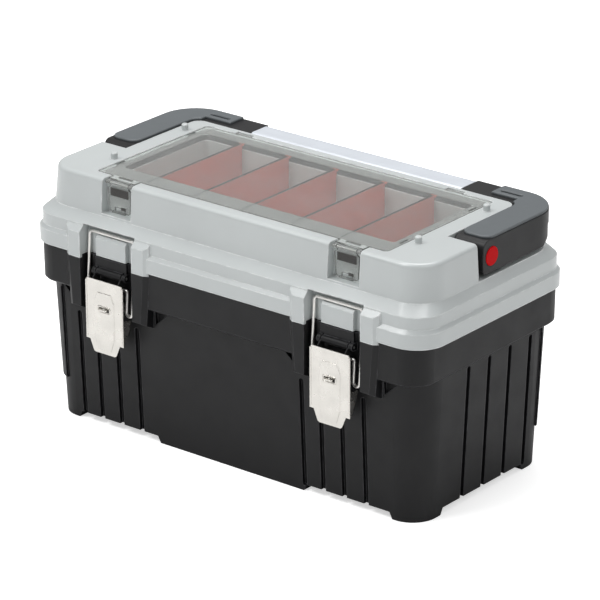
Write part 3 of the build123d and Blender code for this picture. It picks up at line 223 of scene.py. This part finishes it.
def plated_steel(name, colour, roughness, edge_radius, dent_depth):
    """Steel with bright nickel plate: faint rolling lines, small dents, dull spots."""
    line_size = 2.2 * MM
    line_depth = 0.002 * MM
    line_stretch = (1.0, 1.0, 0.05)
    dent_size = 14 * MM
    spot_size = 20 * MM
    s = Shading(name)
    normal, _ = s.edges(edge_radius)
    dented = s.bump(s.noise(dent_size, detail=1.0), dent_depth, normal)
    rolled = s.bump(s.noise(line_size, detail=3.0, stretch=line_stretch), line_depth, dented)
    spots = s.noise(spot_size, detail=3.0)
    gloss = s.spread(spots, roughness, roughness + 0.10, from_low=0.40, from_high=0.72)
    body = s.blend(s.spread(spots, 0.0, 1.0), deeper(colour, 0.86), colour)
    return s.finish(s.principled(base_color=body, metallic=1.0, roughness=gloss, normal=rolled))


def satin_metal(name, colour, roughness, edge_radius, metal=0.75):
    """Extruded aluminium, zinc plate or dark steel with fine lines along its length."""
    line_size = 1.6 * MM
    line_depth = 0.012 * MM
    line_stretch = (0.03, 1.0, 1.0)
    mottle_size = 50 * MM
    s = Shading(name)
    normal, _ = s.edges(edge_radius)
    lines = s.noise(line_size, detail=3.0, stretch=line_stretch)
    grained = s.bump(lines, line_depth, normal)
    gloss = s.spread(lines, roughness, roughness + 0.12)
    body = s.blend(s.spread(s.noise(mottle_size), 0.0, 1.0), deeper(colour, 0.9), colour)
    return s.finish(s.principled(base_color=body, metallic=metal, roughness=gloss, normal=grained))


def smoked_clear(name, tint, haze, haze_share, roughness, edge_radius):
    """Clear tinted plastic, milky by a share, with painted shade darkening its edges, that lets light
    through.
    """
    ripple_size = 30 * MM
    ripple_depth = 0.08 * MM
    gloss_size = 20 * MM
    cloud_size = 50 * MM
    plastic_ior = 1.38
    s = Shading(name)
    normal, edge = s.edges(edge_radius)
    ripple = s.bump(s.noise(ripple_size), ripple_depth, normal)
    gloss = s.spread(s.noise(gloss_size, detail=4.0), roughness, roughness + 0.04,
                     from_low=0.45, from_high=0.75)
    # Edges painted darker in both layers: painted shade for the dark outline that a clear sheet shows along
    # its edges.
    clear = s.principled(base_color=s.blend(edge, tint, deeper(tint, 0.12)), roughness=gloss,
                         transmission_weight=1.0, ior=plastic_ior, normal=ripple)
    milky = s.principled(base_color=s.blend(edge, haze, deeper(haze, 0.15)), roughness=gloss,
                         ior=plastic_ior, normal=ripple)
    cloud = s.spread(s.noise(cloud_size, detail=3.0), haze_share - 0.03, haze_share + 0.03)
    hazy = mix_shaders(s.tree, cloud, clear, milky)
    one_wall = tuple(c ** 0.5 for c in tint[:3]) + (1.0,)
    passing = s.node("ShaderNodeBsdfTransparent", {"Color": one_wall}).outputs["BSDF"]
    shadow = s.node("ShaderNodeLightPath").outputs["Is Shadow Ray"]
    return s.finish(mix_shaders(s.tree, shadow, hazy, passing))


HAZE = srgb(166, 167, 166)
# Dark smoky grey of the sheets and strips that paint shade inside the clear parts.
SHADE_SMOKE_GREY = srgb(74, 72, 70)

# Finishes of the frame's slots
finishes = {
    # Bin edges lighter in patches: wear, and a painted highlight along them.
    "bin_plastic": moulded_plastic("bin_plastic", srgb(15, 15, 17), scuff_and_highlight=srgb(112, 112, 116), roughness=0.46,
                                   grain_size=1.1 * MM, grain_depth=0.04 * MM, edge_radius=1.4 * MM,
                                   specular=0.34, rubbed_and_highlit=0.55),
    # Lid edges lighten almost to white: a painted highlight along them, and some wear.
    "lid_plastic": moulded_plastic("lid_plastic", srgb(188, 193, 193), scuff_and_highlight=srgb(252, 254, 254),
                                   roughness=0.36, grain_size=1.1 * MM, grain_depth=0.02 * MM,
                                   edge_radius=2.2 * MM, specular=0.6, rubbed_and_highlit=0.95, coat=0.6),
    "handle_plastic": moulded_plastic("handle_plastic", srgb(26, 26, 27), scuff_and_highlight=srgb(80, 80, 82),
                                      roughness=0.44, grain_size=0.9 * MM, grain_depth=0.04 * MM,
                                      edge_radius=2.2 * MM, specular=0.38),
    "grip_plastic": moulded_plastic("grip_plastic", srgb(92, 97, 100), scuff_and_highlight=srgb(140, 144, 146),
                                    roughness=0.40, grain_size=0.9 * MM, grain_depth=0.03 * MM,
                                    edge_radius=1.8 * MM),
    "red_plastic": moulded_plastic("red_plastic", srgb(196, 0, 10), scuff_and_highlight=srgb(206, 30, 34), roughness=0.42,
                                   grain_size=1.0 * MM, grain_depth=0.02 * MM, edge_radius=0.6 * MM,
                                   specular=0.06),
    "clear_plastic": smoked_clear("clear_plastic", srgb(222, 224, 222), HAZE, haze_share=0.13, roughness=0.02,
                                  edge_radius=1.0 * MM),
    "nickel_steel": plated_steel("nickel_steel", srgb(226, 223, 217), roughness=0.22, edge_radius=0.6 * MM,
                                 dent_depth=0.22 * MM),
    "zinc_steel": satin_metal("zinc_steel", srgb(190, 190, 188), roughness=0.30, edge_radius=0.3 * MM),
    "bar_aluminium": satin_metal("bar_aluminium", srgb(225, 230, 237), roughness=0.36, edge_radius=2.0 * MM,
                                 metal=0.5),
    "dark_steel": satin_metal("dark_steel", srgb(24, 24, 25), roughness=0.60, edge_radius=0.3 * MM,
                              metal=0.2),
}

# Finishes of pieces that share a slot with another finish
wire_nickel = plated_steel("wire_nickel", srgb(246, 244, 240), roughness=0.34, edge_radius=0.9 * MM,
                           dent_depth=0.01 * MM)
# Near-black finish of the beads that paint shade on the rebate wall.
rebate_shade_black = moulded_plastic("rebate_shade_black", srgb(5, 5, 5), scuff_and_highlight=srgb(9, 9, 9), roughness=0.70,
                              grain_size=0.8 * MM, grain_depth=0.02 * MM, edge_radius=0.5 * MM, specular=0.1)
divider_red = moulded_plastic("divider_red", srgb(208, 82, 52), scuff_and_highlight=srgb(216, 98, 68), roughness=0.42,
                              grain_size=1.0 * MM, grain_depth=0.02 * MM, edge_radius=0.6 * MM, specular=0.06)
# Smoky finish of the sheet that paints shade on the margin round the organiser.
margin_shade_smoke = smoked_clear("margin_shade_smoke", srgb(172, 175, 175), HAZE, haze_share=0.35, roughness=0.08,
                         edge_radius=0.2 * MM)
# Dark smoky finish of the sheets and strips that paint shade inside the clear parts.
painted_shade_smoke = smoked_clear("painted_shade_smoke", SHADE_SMOKE_GREY, SHADE_SMOKE_GREY, haze_share=0.45, roughness=0.08,
                          edge_radius=0.3 * MM)


def finish_frame():
    """Gives each CAD node the finish of its slot, or its own one."""
    for part in frame["record"]["subparts"]:
        name = part["node"]
        finish = finishes[part["material_slot"]]
        if name.endswith("_bail"):
            finish = wire_nickel
        if name in DIVIDERS:
            finish = divider_red
        mesh = nodes[name].data
        mesh.materials.clear()
        mesh.materials.append(finish)


def add_piece(name, mesh, body, slot, finish=None):
    """Shows a mesh as a piece that rides on a body, in the finish of its slot or in one of its own."""
    if not mesh.materials:
        mesh.materials.append(finish or finishes[slot])
    piece = bpy.data.objects.new(name, mesh)
    bpy.context.scene.collection.objects.link(piece)
    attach(piece, body)
    return piece


def extruded(name, outline, low_x, high_x, rounding):
    """Mesh with a side view of (y, z) points, between two values of x, with rounded edges, in millimetres."""
    shape = bmesh.new()
    face = shape.faces.new([shape.verts.new((low_x * MM, y * MM, z * MM)) for y, z in outline])
    moved = bmesh.ops.extrude_face_region(shape, geom=[face])["geom"]
    bmesh.ops.translate(shape, verts=[v for v in moved if isinstance(v, bmesh.types.BMVert)],
                        vec=((high_x - low_x) * MM, 0, 0))
    bmesh.ops.bevel(shape, geom=list(shape.edges), offset=rounding * MM, segments=3, profile=0.5,
                    affect="EDGES")
    bmesh.ops.recalc_face_normals(shape, faces=list(shape.faces))
    mesh = bpy.data.meshes.new(name)
    shape.to_mesh(mesh)
    shape.free()
    return mesh


class Growth:
    """Geometry Nodes tree with named inputs for its sizes, and one for its finish."""

    def __init__(self, name, sizes):
        self.tree = bpy.data.node_groups.new(name, "GeometryNodeTree")
        self.identifiers = {}
        self.add_input("Geometry", "NodeSocketGeometry")
        for label, kind in sizes.items():
            self.add_input(label, kind)
        self.add_input("Finish", "NodeSocketMaterial")
        self.tree.interface.new_socket("Geometry", in_out="OUTPUT", socket_type="NodeSocketGeometry")
        self.source = self.tree.nodes.new("NodeGroupInput")
        self.sink = self.tree.nodes.new("NodeGroupOutput")

    def add_input(self, label, kind):
        """Named input of the tree."""
        socket = self.tree.interface.new_socket(label, in_out="INPUT", socket_type=kind)
        self.identifiers[label] = socket.identifier

    def size(self, label):
        """Value of a named input."""
        return self.source.outputs[label]

    def node(self, kind, inputs=None, **settings):
        """First output of a new node of this tree."""
        return add_node(self.tree, kind, inputs, **settings).outputs[0]

    def on_points(self, shape):
        """The shape at each point of the seed mesh."""
        points = self.node("GeometryNodeMeshToPoints", {"Mesh": self.size("Geometry")})
        return self.node("GeometryNodeInstanceOnPoints", {"Points": points, "Instance": shape})

    def close(self, geometry):
        """Ends the tree with real geometry in its finish."""
        whole = self.node("GeometryNodeRealizeInstances", {"Geometry": geometry})
        painted = self.node("GeometryNodeSetMaterial", {"Geometry": whole, "Material": self.size("Finish")})
        self.tree.links.new(painted, self.sink.inputs[0])

    def mesh(self, name, seed, values):
        """Plain mesh that the tree makes of the seed mesh."""
        carrier = bpy.data.objects.new(name + "_seed", seed)
        bpy.context.scene.collection.objects.link(carrier)
        modifier = carrier.modifiers.new("growth", "NODES")
        modifier.node_group = self.tree
        for label, value in values.items():
            modifier[self.identifiers[label]] = value
        graph = bpy.context.evaluated_depsgraph_get()
        grown = bpy.data.meshes.new_from_object(carrier.evaluated_get(graph))
        grown.name = name
        carrier.modifiers.remove(modifier)
        bpy.data.objects.remove(carrier)
        return grown


def bead_growth():
    """Round bead that follows a path, with bends of a given radius."""
    bend_steps = 6
    g = Growth("bead", {"Bead radius": "NodeSocketFloat", "Bend radius": "NodeSocketFloat",
                        "Sides": "NodeSocketInt"})
    path = g.node("GeometryNodeMeshToCurve", {"Mesh": g.size("Geometry")})
    bent = g.node("GeometryNodeFilletCurve", {"Curve": path, "Radius": g.size("Bend radius"),
                                              "Count": bend_steps}, mode="POLY")
    section = g.node("GeometryNodeCurvePrimitiveCircle", {"Resolution": g.size("Sides"),
                                                          "Radius": g.size("Bead radius")}, mode="RADIUS")
    bead = g.node("GeometryNodeCurveToMesh", {"Curve": bent, "Profile Curve": section, "Fill Caps": True})
    g.close(g.node("GeometryNodeSetShadeSmooth", {"Geometry": bead}))
    return g


def strip_growth():
    """Flat strip of a given size at each point."""
    g = Growth("strip", {"Width": "NodeSocketFloat", "Length": "NodeSocketFloat",
                         "Thickness": "NodeSocketFloat"})
    size = g.node("ShaderNodeCombineXYZ", {"X": g.size("Width"), "Y": g.size("Length"),
                                           "Z": g.size("Thickness")})
    g.close(g.on_points(g.node("GeometryNodeMeshCube", {"Size": size})))
    return g


def screw_growth():
    """Pan-head screw with a cross recess and a thread at each point, head downwards."""
    head_flatness = 0.5
    recess_reach = 1.15
    recess_width = 0.24
    recess_drop = 1.15
    thread_share = 0.9
    crest_radius = 0.4 * MM
    cutter_width = 20 * MM
    cutter_height = 10 * MM
    g = Growth("screw", {"Head radius": "NodeSocketFloat", "Shank radius": "NodeSocketFloat",
                         "Shank length": "NodeSocketFloat", "Turns": "NodeSocketFloat"})

    def scaled(value, factor):
        return g.node("ShaderNodeMath", {0: value, 1: factor}, operation="MULTIPLY")

    def block(x, y, z):
        size = g.node("ShaderNodeCombineXYZ", {"X": x, "Y": y, "Z": z})
        return g.node("GeometryNodeMeshCube", {"Size": size})

    def raised(geometry, height):
        up = g.node("ShaderNodeCombineXYZ", {"Z": height})
        return g.node("GeometryNodeTransform", {"Geometry": geometry, "Translation": up})

    # Head: the lower half of a flattened ball, less two crossed bars
    ball = g.node("GeometryNodeMeshUVSphere", {"Segments": 32, "Rings": 16, "Radius": g.size("Head radius")})
    flatter = g.node("ShaderNodeCombineXYZ", {"X": 1.0, "Y": 1.0, "Z": head_flatness})
    ball = g.node("GeometryNodeTransform", {"Geometry": ball, "Scale": flatter})
    reach = scaled(g.size("Head radius"), recess_reach)
    width = scaled(g.size("Head radius"), recess_width)
    cutters = [raised(block(cutter_width, cutter_width, cutter_height), cutter_height / 2)]
    for x, y in ((reach, width), (width, reach)):
        cutters.append(raised(block(x, y, reach), scaled(reach, -recess_drop)))
    head = g.node("GeometryNodeMeshBoolean", {"Mesh 1": ball, "Mesh 2": cutters}, operation="DIFFERENCE")

    # Shank, and the thread that winds up it
    shank = g.node("GeometryNodeMeshCylinder", {"Vertices": 24, "Radius": g.size("Shank radius"),
                                                "Depth": g.size("Shank length")})
    shank = raised(shank, scaled(g.size("Shank length"), 0.5))
    spiral = g.node("GeometryNodeCurveSpiral", {"Resolution": 24, "Rotations": g.size("Turns"),
                                                "Start Radius": g.size("Shank radius"),
                                                "End Radius": g.size("Shank radius"),
                                                "Height": scaled(g.size("Shank length"), thread_share)})
    crest = g.node("GeometryNodeCurvePrimitiveCircle", {"Resolution": 3, "Radius": crest_radius},
                   mode="RADIUS")
    thread = g.node("GeometryNodeCurveToMesh", {"Curve": spiral, "Profile Curve": crest, "Fill Caps": True})
    g.close(g.on_points(g.node("GeometryNodeJoinGeometry", {"Geometry": [head, shank, thread]})))
    return g


def plain_mesh(name, points, edges=(), faces=()):
    """Mesh of points given in millimetres, with edges or faces between them."""
    mesh = bpy.data.meshes.new(name)
    mesh.from_pydata([tuple(c * MM for c in point) for point in points], edges, faces)
    return mesh


def path_mesh(paths):
    """Edges along paths; each path is its points in millimetres, and whether it is closed."""
    points = []
    edges = []
    for path, closed in paths:
        first = len(points)
        points += path
        edges += [(i, i + 1) for i in range(first, len(points) - 1)]
        if closed:
            edges.append((len(points) - 1, first))
    return plain_mesh("path", points, edges=edges)


def make_lid_pads():
    """Raised pad of the lid in each latch bay, under the bar of the wire bail."""
    half = 21.8
    proud = 6.0
    root = 0.6
    seam_gap = 0.6
    height = 24.0
    slant = 3.0
    rounding = 0.5
    front_y = BAY_FACE_Y - proud
    back_y = BAY_FACE_Y + root
    low_z = SEAM_Z + seam_gap
    high_z = low_z + height
    outline = [(front_y, low_z), (front_y, high_z - slant), (front_y + slant, high_z), (back_y, high_z),
               (back_y, low_z)]
    for side, way in SIDES:
        x = way * LATCH_X
        mesh = extruded(f"{side}_lid_pad", outline, x - half, x + half, rounding)
        add_piece(f"{side}_lid_pad", mesh, "lid", "lid_plastic")


def make_lever_beads():
    """Stiffening beads pressed into each lever: one along each side and one round the slot."""
    side_step = 1.5
    end_step = 2.5
    bead_sink = 0.15
    bead_radius = 0.95
    rim_half = 9.0
    rim_below = 4.4
    rim_above = 3.2
    rim_proud = 0.75
    rim_radius = 0.7
    rim_bend = 2.2
    beads = bead_growth()
    reach = LEVER_HALF - side_step
    bead_y = LEVER_FACE_Y + bead_sink
    rim_y = LEVER_FACE_Y - rim_proud
    low_z = SLOT_Z - rim_below
    high_z = SLOT_Z + rim_above
    for side, way in SIDES:
        x = way * LATCH_X
        lines = [([(x + edge, bead_y, LEVER_TOP_Z - end_step),
                   (x + edge, bead_y, LEVER_SHOULDER_Z + end_step)], False) for edge in (-reach, reach)]
        mesh = beads.mesh(f"{side}_lever_beads", path_mesh(lines),
                          {"Bead radius": bead_radius * MM, "Bend radius": 0.0, "Sides": 12,
                           "Finish": finishes["nickel_steel"]})
        add_piece(f"{side}_lever_beads", mesh, f"{side}_lever", "nickel_steel")
        rim = [(x - rim_half, rim_y, low_z), (x + rim_half, rim_y, low_z),
               (x + rim_half, rim_y, high_z), (x - rim_half, rim_y, high_z)]
        mesh = beads.mesh(f"{side}_slot_rim", path_mesh([(rim, True)]),
                          {"Bead radius": rim_radius * MM, "Bend radius": rim_bend * MM, "Sides": 10,
                           "Finish": finishes["nickel_steel"]})
        add_piece(f"{side}_slot_rim", mesh, f"{side}_lever", "nickel_steel")


def make_flap_shade():
    """Painted shade: a dark sheet inside the upper half of each snap flap, behind its hinge, and a dark strip
    where its catch lies in shade.
    """
    front_y = -113.6
    thickness = 0.5
    hinge_shade_half = 13.0
    hinge_shade_low_z = 281.5
    hinge_shade_high_z = 291.0
    catch_shade_near = 2.0
    catch_shade_far = 9.0
    catch_shade_low_z = 266.6
    catch_shade_high_z = 270.2
    rounding = 0.1
    back_y = front_y + thickness
    for side, way in SIDES:
        x = way * LATCH_X
        hinge_shade = ("hinge_shade", x - hinge_shade_half, x + hinge_shade_half, hinge_shade_low_z, hinge_shade_high_z)
        catch_shade = ("catch_shade", x + catch_shade_near, x + catch_shade_far, catch_shade_low_z, catch_shade_high_z)
        for kind, low_x, high_x, low_z, high_z in (hinge_shade, catch_shade):
            outline = [(front_y, low_z), (front_y, high_z), (back_y, high_z), (back_y, low_z)]
            mesh = extruded(f"{side}_flap_{kind}", outline, low_x, high_x, rounding)
            add_piece(f"{side}_flap_{kind}", mesh, f"{side}_flap", "clear_plastic", painted_shade_smoke)


def make_grip_screws():
    """Screws that hold the grip bar on the tongues of the brackets, in from below."""
    head_radius = 3.2
    shank_radius = 1.5
    shank_length = 9.5
    low, high = box_of("grip_screws")
    y = (low.y + high.y) / 2
    seed = plain_mesh("screw_places", [(x, y, high.z) for x in (low.x + head_radius, high.x - head_radius)])
    mesh = screw_growth().mesh("grip_screw_pair", seed,
                               {"Head radius": head_radius * MM, "Shank radius": shank_radius * MM,
                                "Shank length": shank_length * MM, "Turns": 8.0,
                                "Finish": finishes["zinc_steel"]})
    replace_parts(add_piece("grip_screw_pair", mesh, "handle", "zinc_steel"), "grip_screws")


def make_rebate_shade():
    """Painted shade: two near-black round beads, one over the other, along the wall of the rebate, which lies
    in shade under the cover.
    """
    bead_radius = 1.9
    bead_step = 2.5
    bend_radius = 8.0
    sink = 0.1
    half = OPENING_HALF + sink
    front_y = OPENING_FRONT_Y - sink
    back_y = OPENING_BACK_Y + sink
    top_z = SHELF_Z - bead_radius
    rings = [([(-half, front_y, z), (half, front_y, z), (half, back_y, z), (-half, back_y, z)], True)
             for z in (top_z - bead_step, top_z)]
    mesh = bead_growth().mesh("rebate_shade_beads", path_mesh(rings),
                              {"Bead radius": bead_radius * MM, "Bend radius": bend_radius * MM, "Sides": 12,
                               "Finish": rebate_shade_black})
    add_piece("rebate_shade_beads", mesh, "lid", "bin_plastic")


def make_rib_shade_strips():
    """Painted shade: thin dark strips under the ribs of the cover, along each divider, where the ribs look
    dark.
    """
    width = 1.3
    thickness = 0.4
    front_margin = 8.0
    front_y = COVER_FRONT_Y + front_margin
    middle_y = (front_y + OPENING_BACK_Y) / 2
    z = SHELF_Z + thickness / 2
    boxes = [box_of(divider) for divider in DIVIDERS]
    seed = plain_mesh("rib_shade_places", [((low.x + high.x) / 2, middle_y, z) for low, high in boxes])
    mesh = strip_growth().mesh("cover_rib_shade", seed,
                               {"Width": width * MM, "Length": (OPENING_BACK_Y - front_y) * MM,
                                "Thickness": thickness * MM, "Finish": painted_shade_smoke})
    add_piece("cover_rib_shade", mesh, "cover", "clear_plastic")


def cut_rectangle(half_x, front_y, back_y, cut):
    """Corner points of a rectangle with cut corners, in order round it."""
    return [(half_x - cut, front_y), (half_x, front_y + cut),
            (half_x, back_y - cut), (half_x - cut, back_y),
            (cut - half_x, back_y), (-half_x, back_y - cut),
            (-half_x, front_y + cut), (cut - half_x, front_y)]


def make_cover_margin_shade():
    """Painted shade: a smoky sheet under the edge of the cover, where it rests on the lid round the
    organiser, darkening that margin.
    """
    gap_below = 0.4
    gap_above = 0.2
    gap_outside = 0.5
    end_lap = 0.3
    side_lap = 0.5
    outer_cut = 4.5
    inner_cut = 2.0
    heights = (SHELF_Z + gap_below, COVER_BASE_Z - gap_above)
    outer = cut_rectangle(SHELF_HALF - gap_outside, SHELF_FRONT_Y + gap_outside, SHELF_BACK_Y - gap_outside,
                          outer_cut)
    inner = cut_rectangle(OPENING_HALF - end_lap, OPENING_FRONT_Y + side_lap, OPENING_BACK_Y - side_lap,
                          inner_cut)
    points = [(x, y, z) for z in heights for ring in (outer, inner) for x, y in ring]
    count = len(outer)
    low_out, low_in, high_out, high_in = (ring * count for ring in range(4))
    faces = []
    for i in range(count):
        j = (i + 1) % count
        faces.append((low_out + i, low_in + i, low_in + j, low_out + j))
        faces.append((high_out + i, high_out + j, high_in + j, high_in + i))
        faces.append((low_out + i, low_out + j, high_out + j, high_out + i))
        faces.append((low_in + i, high_in + i, high_in + j, low_in + j))
    add_piece("cover_margin_shade", plain_mesh("cover_margin_shade", points, faces=faces), "cover", "clear_plastic", margin_shade_smoke)


def make_camera():
    """Long lens that looks down at the front and the right end."""
    camera_data = bpy.data.cameras.new("camera")
    camera_data.sensor_width = SENSOR_MM
    camera_data.lens = SENSOR_MM * FOCAL_PIXELS / FRAME_PIXELS
    camera_data.clip_end = CAMERA_REACH
    camera = bpy.data.objects.new("camera", camera_data)
    round_box = Matrix.Rotation(radians(CAMERA_AZIMUTH), 4, "Z")
    downwards = Matrix.Rotation(radians(90 - CAMERA_ELEVATION), 4, "X")
    roll = Matrix.Rotation(radians(CAMERA_ROLL), 4, "Z")
    away = Matrix.Translation((0, 0, CAMERA_DISTANCE))
    camera.matrix_world = Matrix.Translation(CAMERA_TARGET) @ round_box @ downwards @ roll @ away
    bpy.context.scene.collection.objects.link(camera)
    bpy.context.scene.camera = camera


def make_light(name, place, aim, size, power):
    """Soft rectangular studio light."""
    light_data = bpy.data.lights.new(name, "AREA")
    light_data.shape = "RECTANGLE"
    light_data.size, light_data.size_y = size
    light_data.energy = power
    light = bpy.data.objects.new(name, light_data)
    turn = (Vector(aim) - Vector(place)).to_track_quat("-Z", "Y").to_matrix().to_4x4()
    light.matrix_world = Matrix.Translation(place) @ turn
    bpy.context.scene.collection.objects.link(light)


def make_world():
    """White surroundings to the eye, and a softer even light on the object."""
    even_light = 0.42
    world = bpy.data.worlds.new("studio")
    bpy.context.scene.world = world
    world.use_nodes = True
    tree = world.node_tree
    tree.nodes.clear()
    lit, white = (add_node(tree, "ShaderNodeBackground", {"Color": WHITE, "Strength": strength})
                  for strength in (even_light, 1.0))
    shown = mix_shaders(tree, seen_directly(tree), lit.outputs["Background"], white.outputs["Background"])
    add_node(tree, "ShaderNodeOutputWorld", {"Surface": shown})


def make_floor():
    """White floor that keeps the soft shadow of the box."""
    half = 12.0
    patch_size = 0.6
    glow_strength = 0.55
    s = Shading("floor_white")
    tone = s.blend(s.spread(s.noise(patch_size), 0.0, 1.0), deeper(WHITE, 0.90), deeper(WHITE, 0.93))
    matt = s.principled(base_color=tone, roughness=0.9, specular_ior_level=0.1)
    dark, glow = (s.node("ShaderNodeEmission", {"Color": WHITE, "Strength": strength}).outputs["Emission"]
                  for strength in (0.0, glow_strength))
    extra = mix_shaders(s.tree, seen_directly(s.tree), dark, glow)
    both = s.node("ShaderNodeAddShader", {0: matt, 1: extra}).outputs["Shader"]
    mesh = bpy.data.meshes.new("floor")
    corners = [(-half, -half, 0), (half, -half, 0), (half, half, 0), (-half, half, 0)]
    mesh.from_pydata(corners, [], [(0, 1, 2, 3)])
    mesh.materials.append(s.finish(both))
    floor = bpy.data.objects.new("floor", mesh)
    bpy.context.scene.collection.objects.link(floor)


finish_frame()
make_lid_pads()
make_lever_beads()
make_flap_shade()
make_grip_screws()
make_rebate_shade()
make_rib_shade_strips()
make_cover_margin_shade()

make_camera()
make_world()
make_light("key", place=(-0.9, -1.5, 2.9), aim=(0, 0, 0.2), size=(1.6, 1.6), power=50)
make_light("fill", place=(2.6, -0.8, 1.6), aim=(0, 0, 0.15), size=(1.8, 1.6), power=9)
make_light("top", place=(-0.2, 0.6, 2.7), aim=(0, 0, 0.2), size=(1.8, 1.4), power=40)
make_floor()
bpy.context.scene.view_settings.view_transform = "Standard"
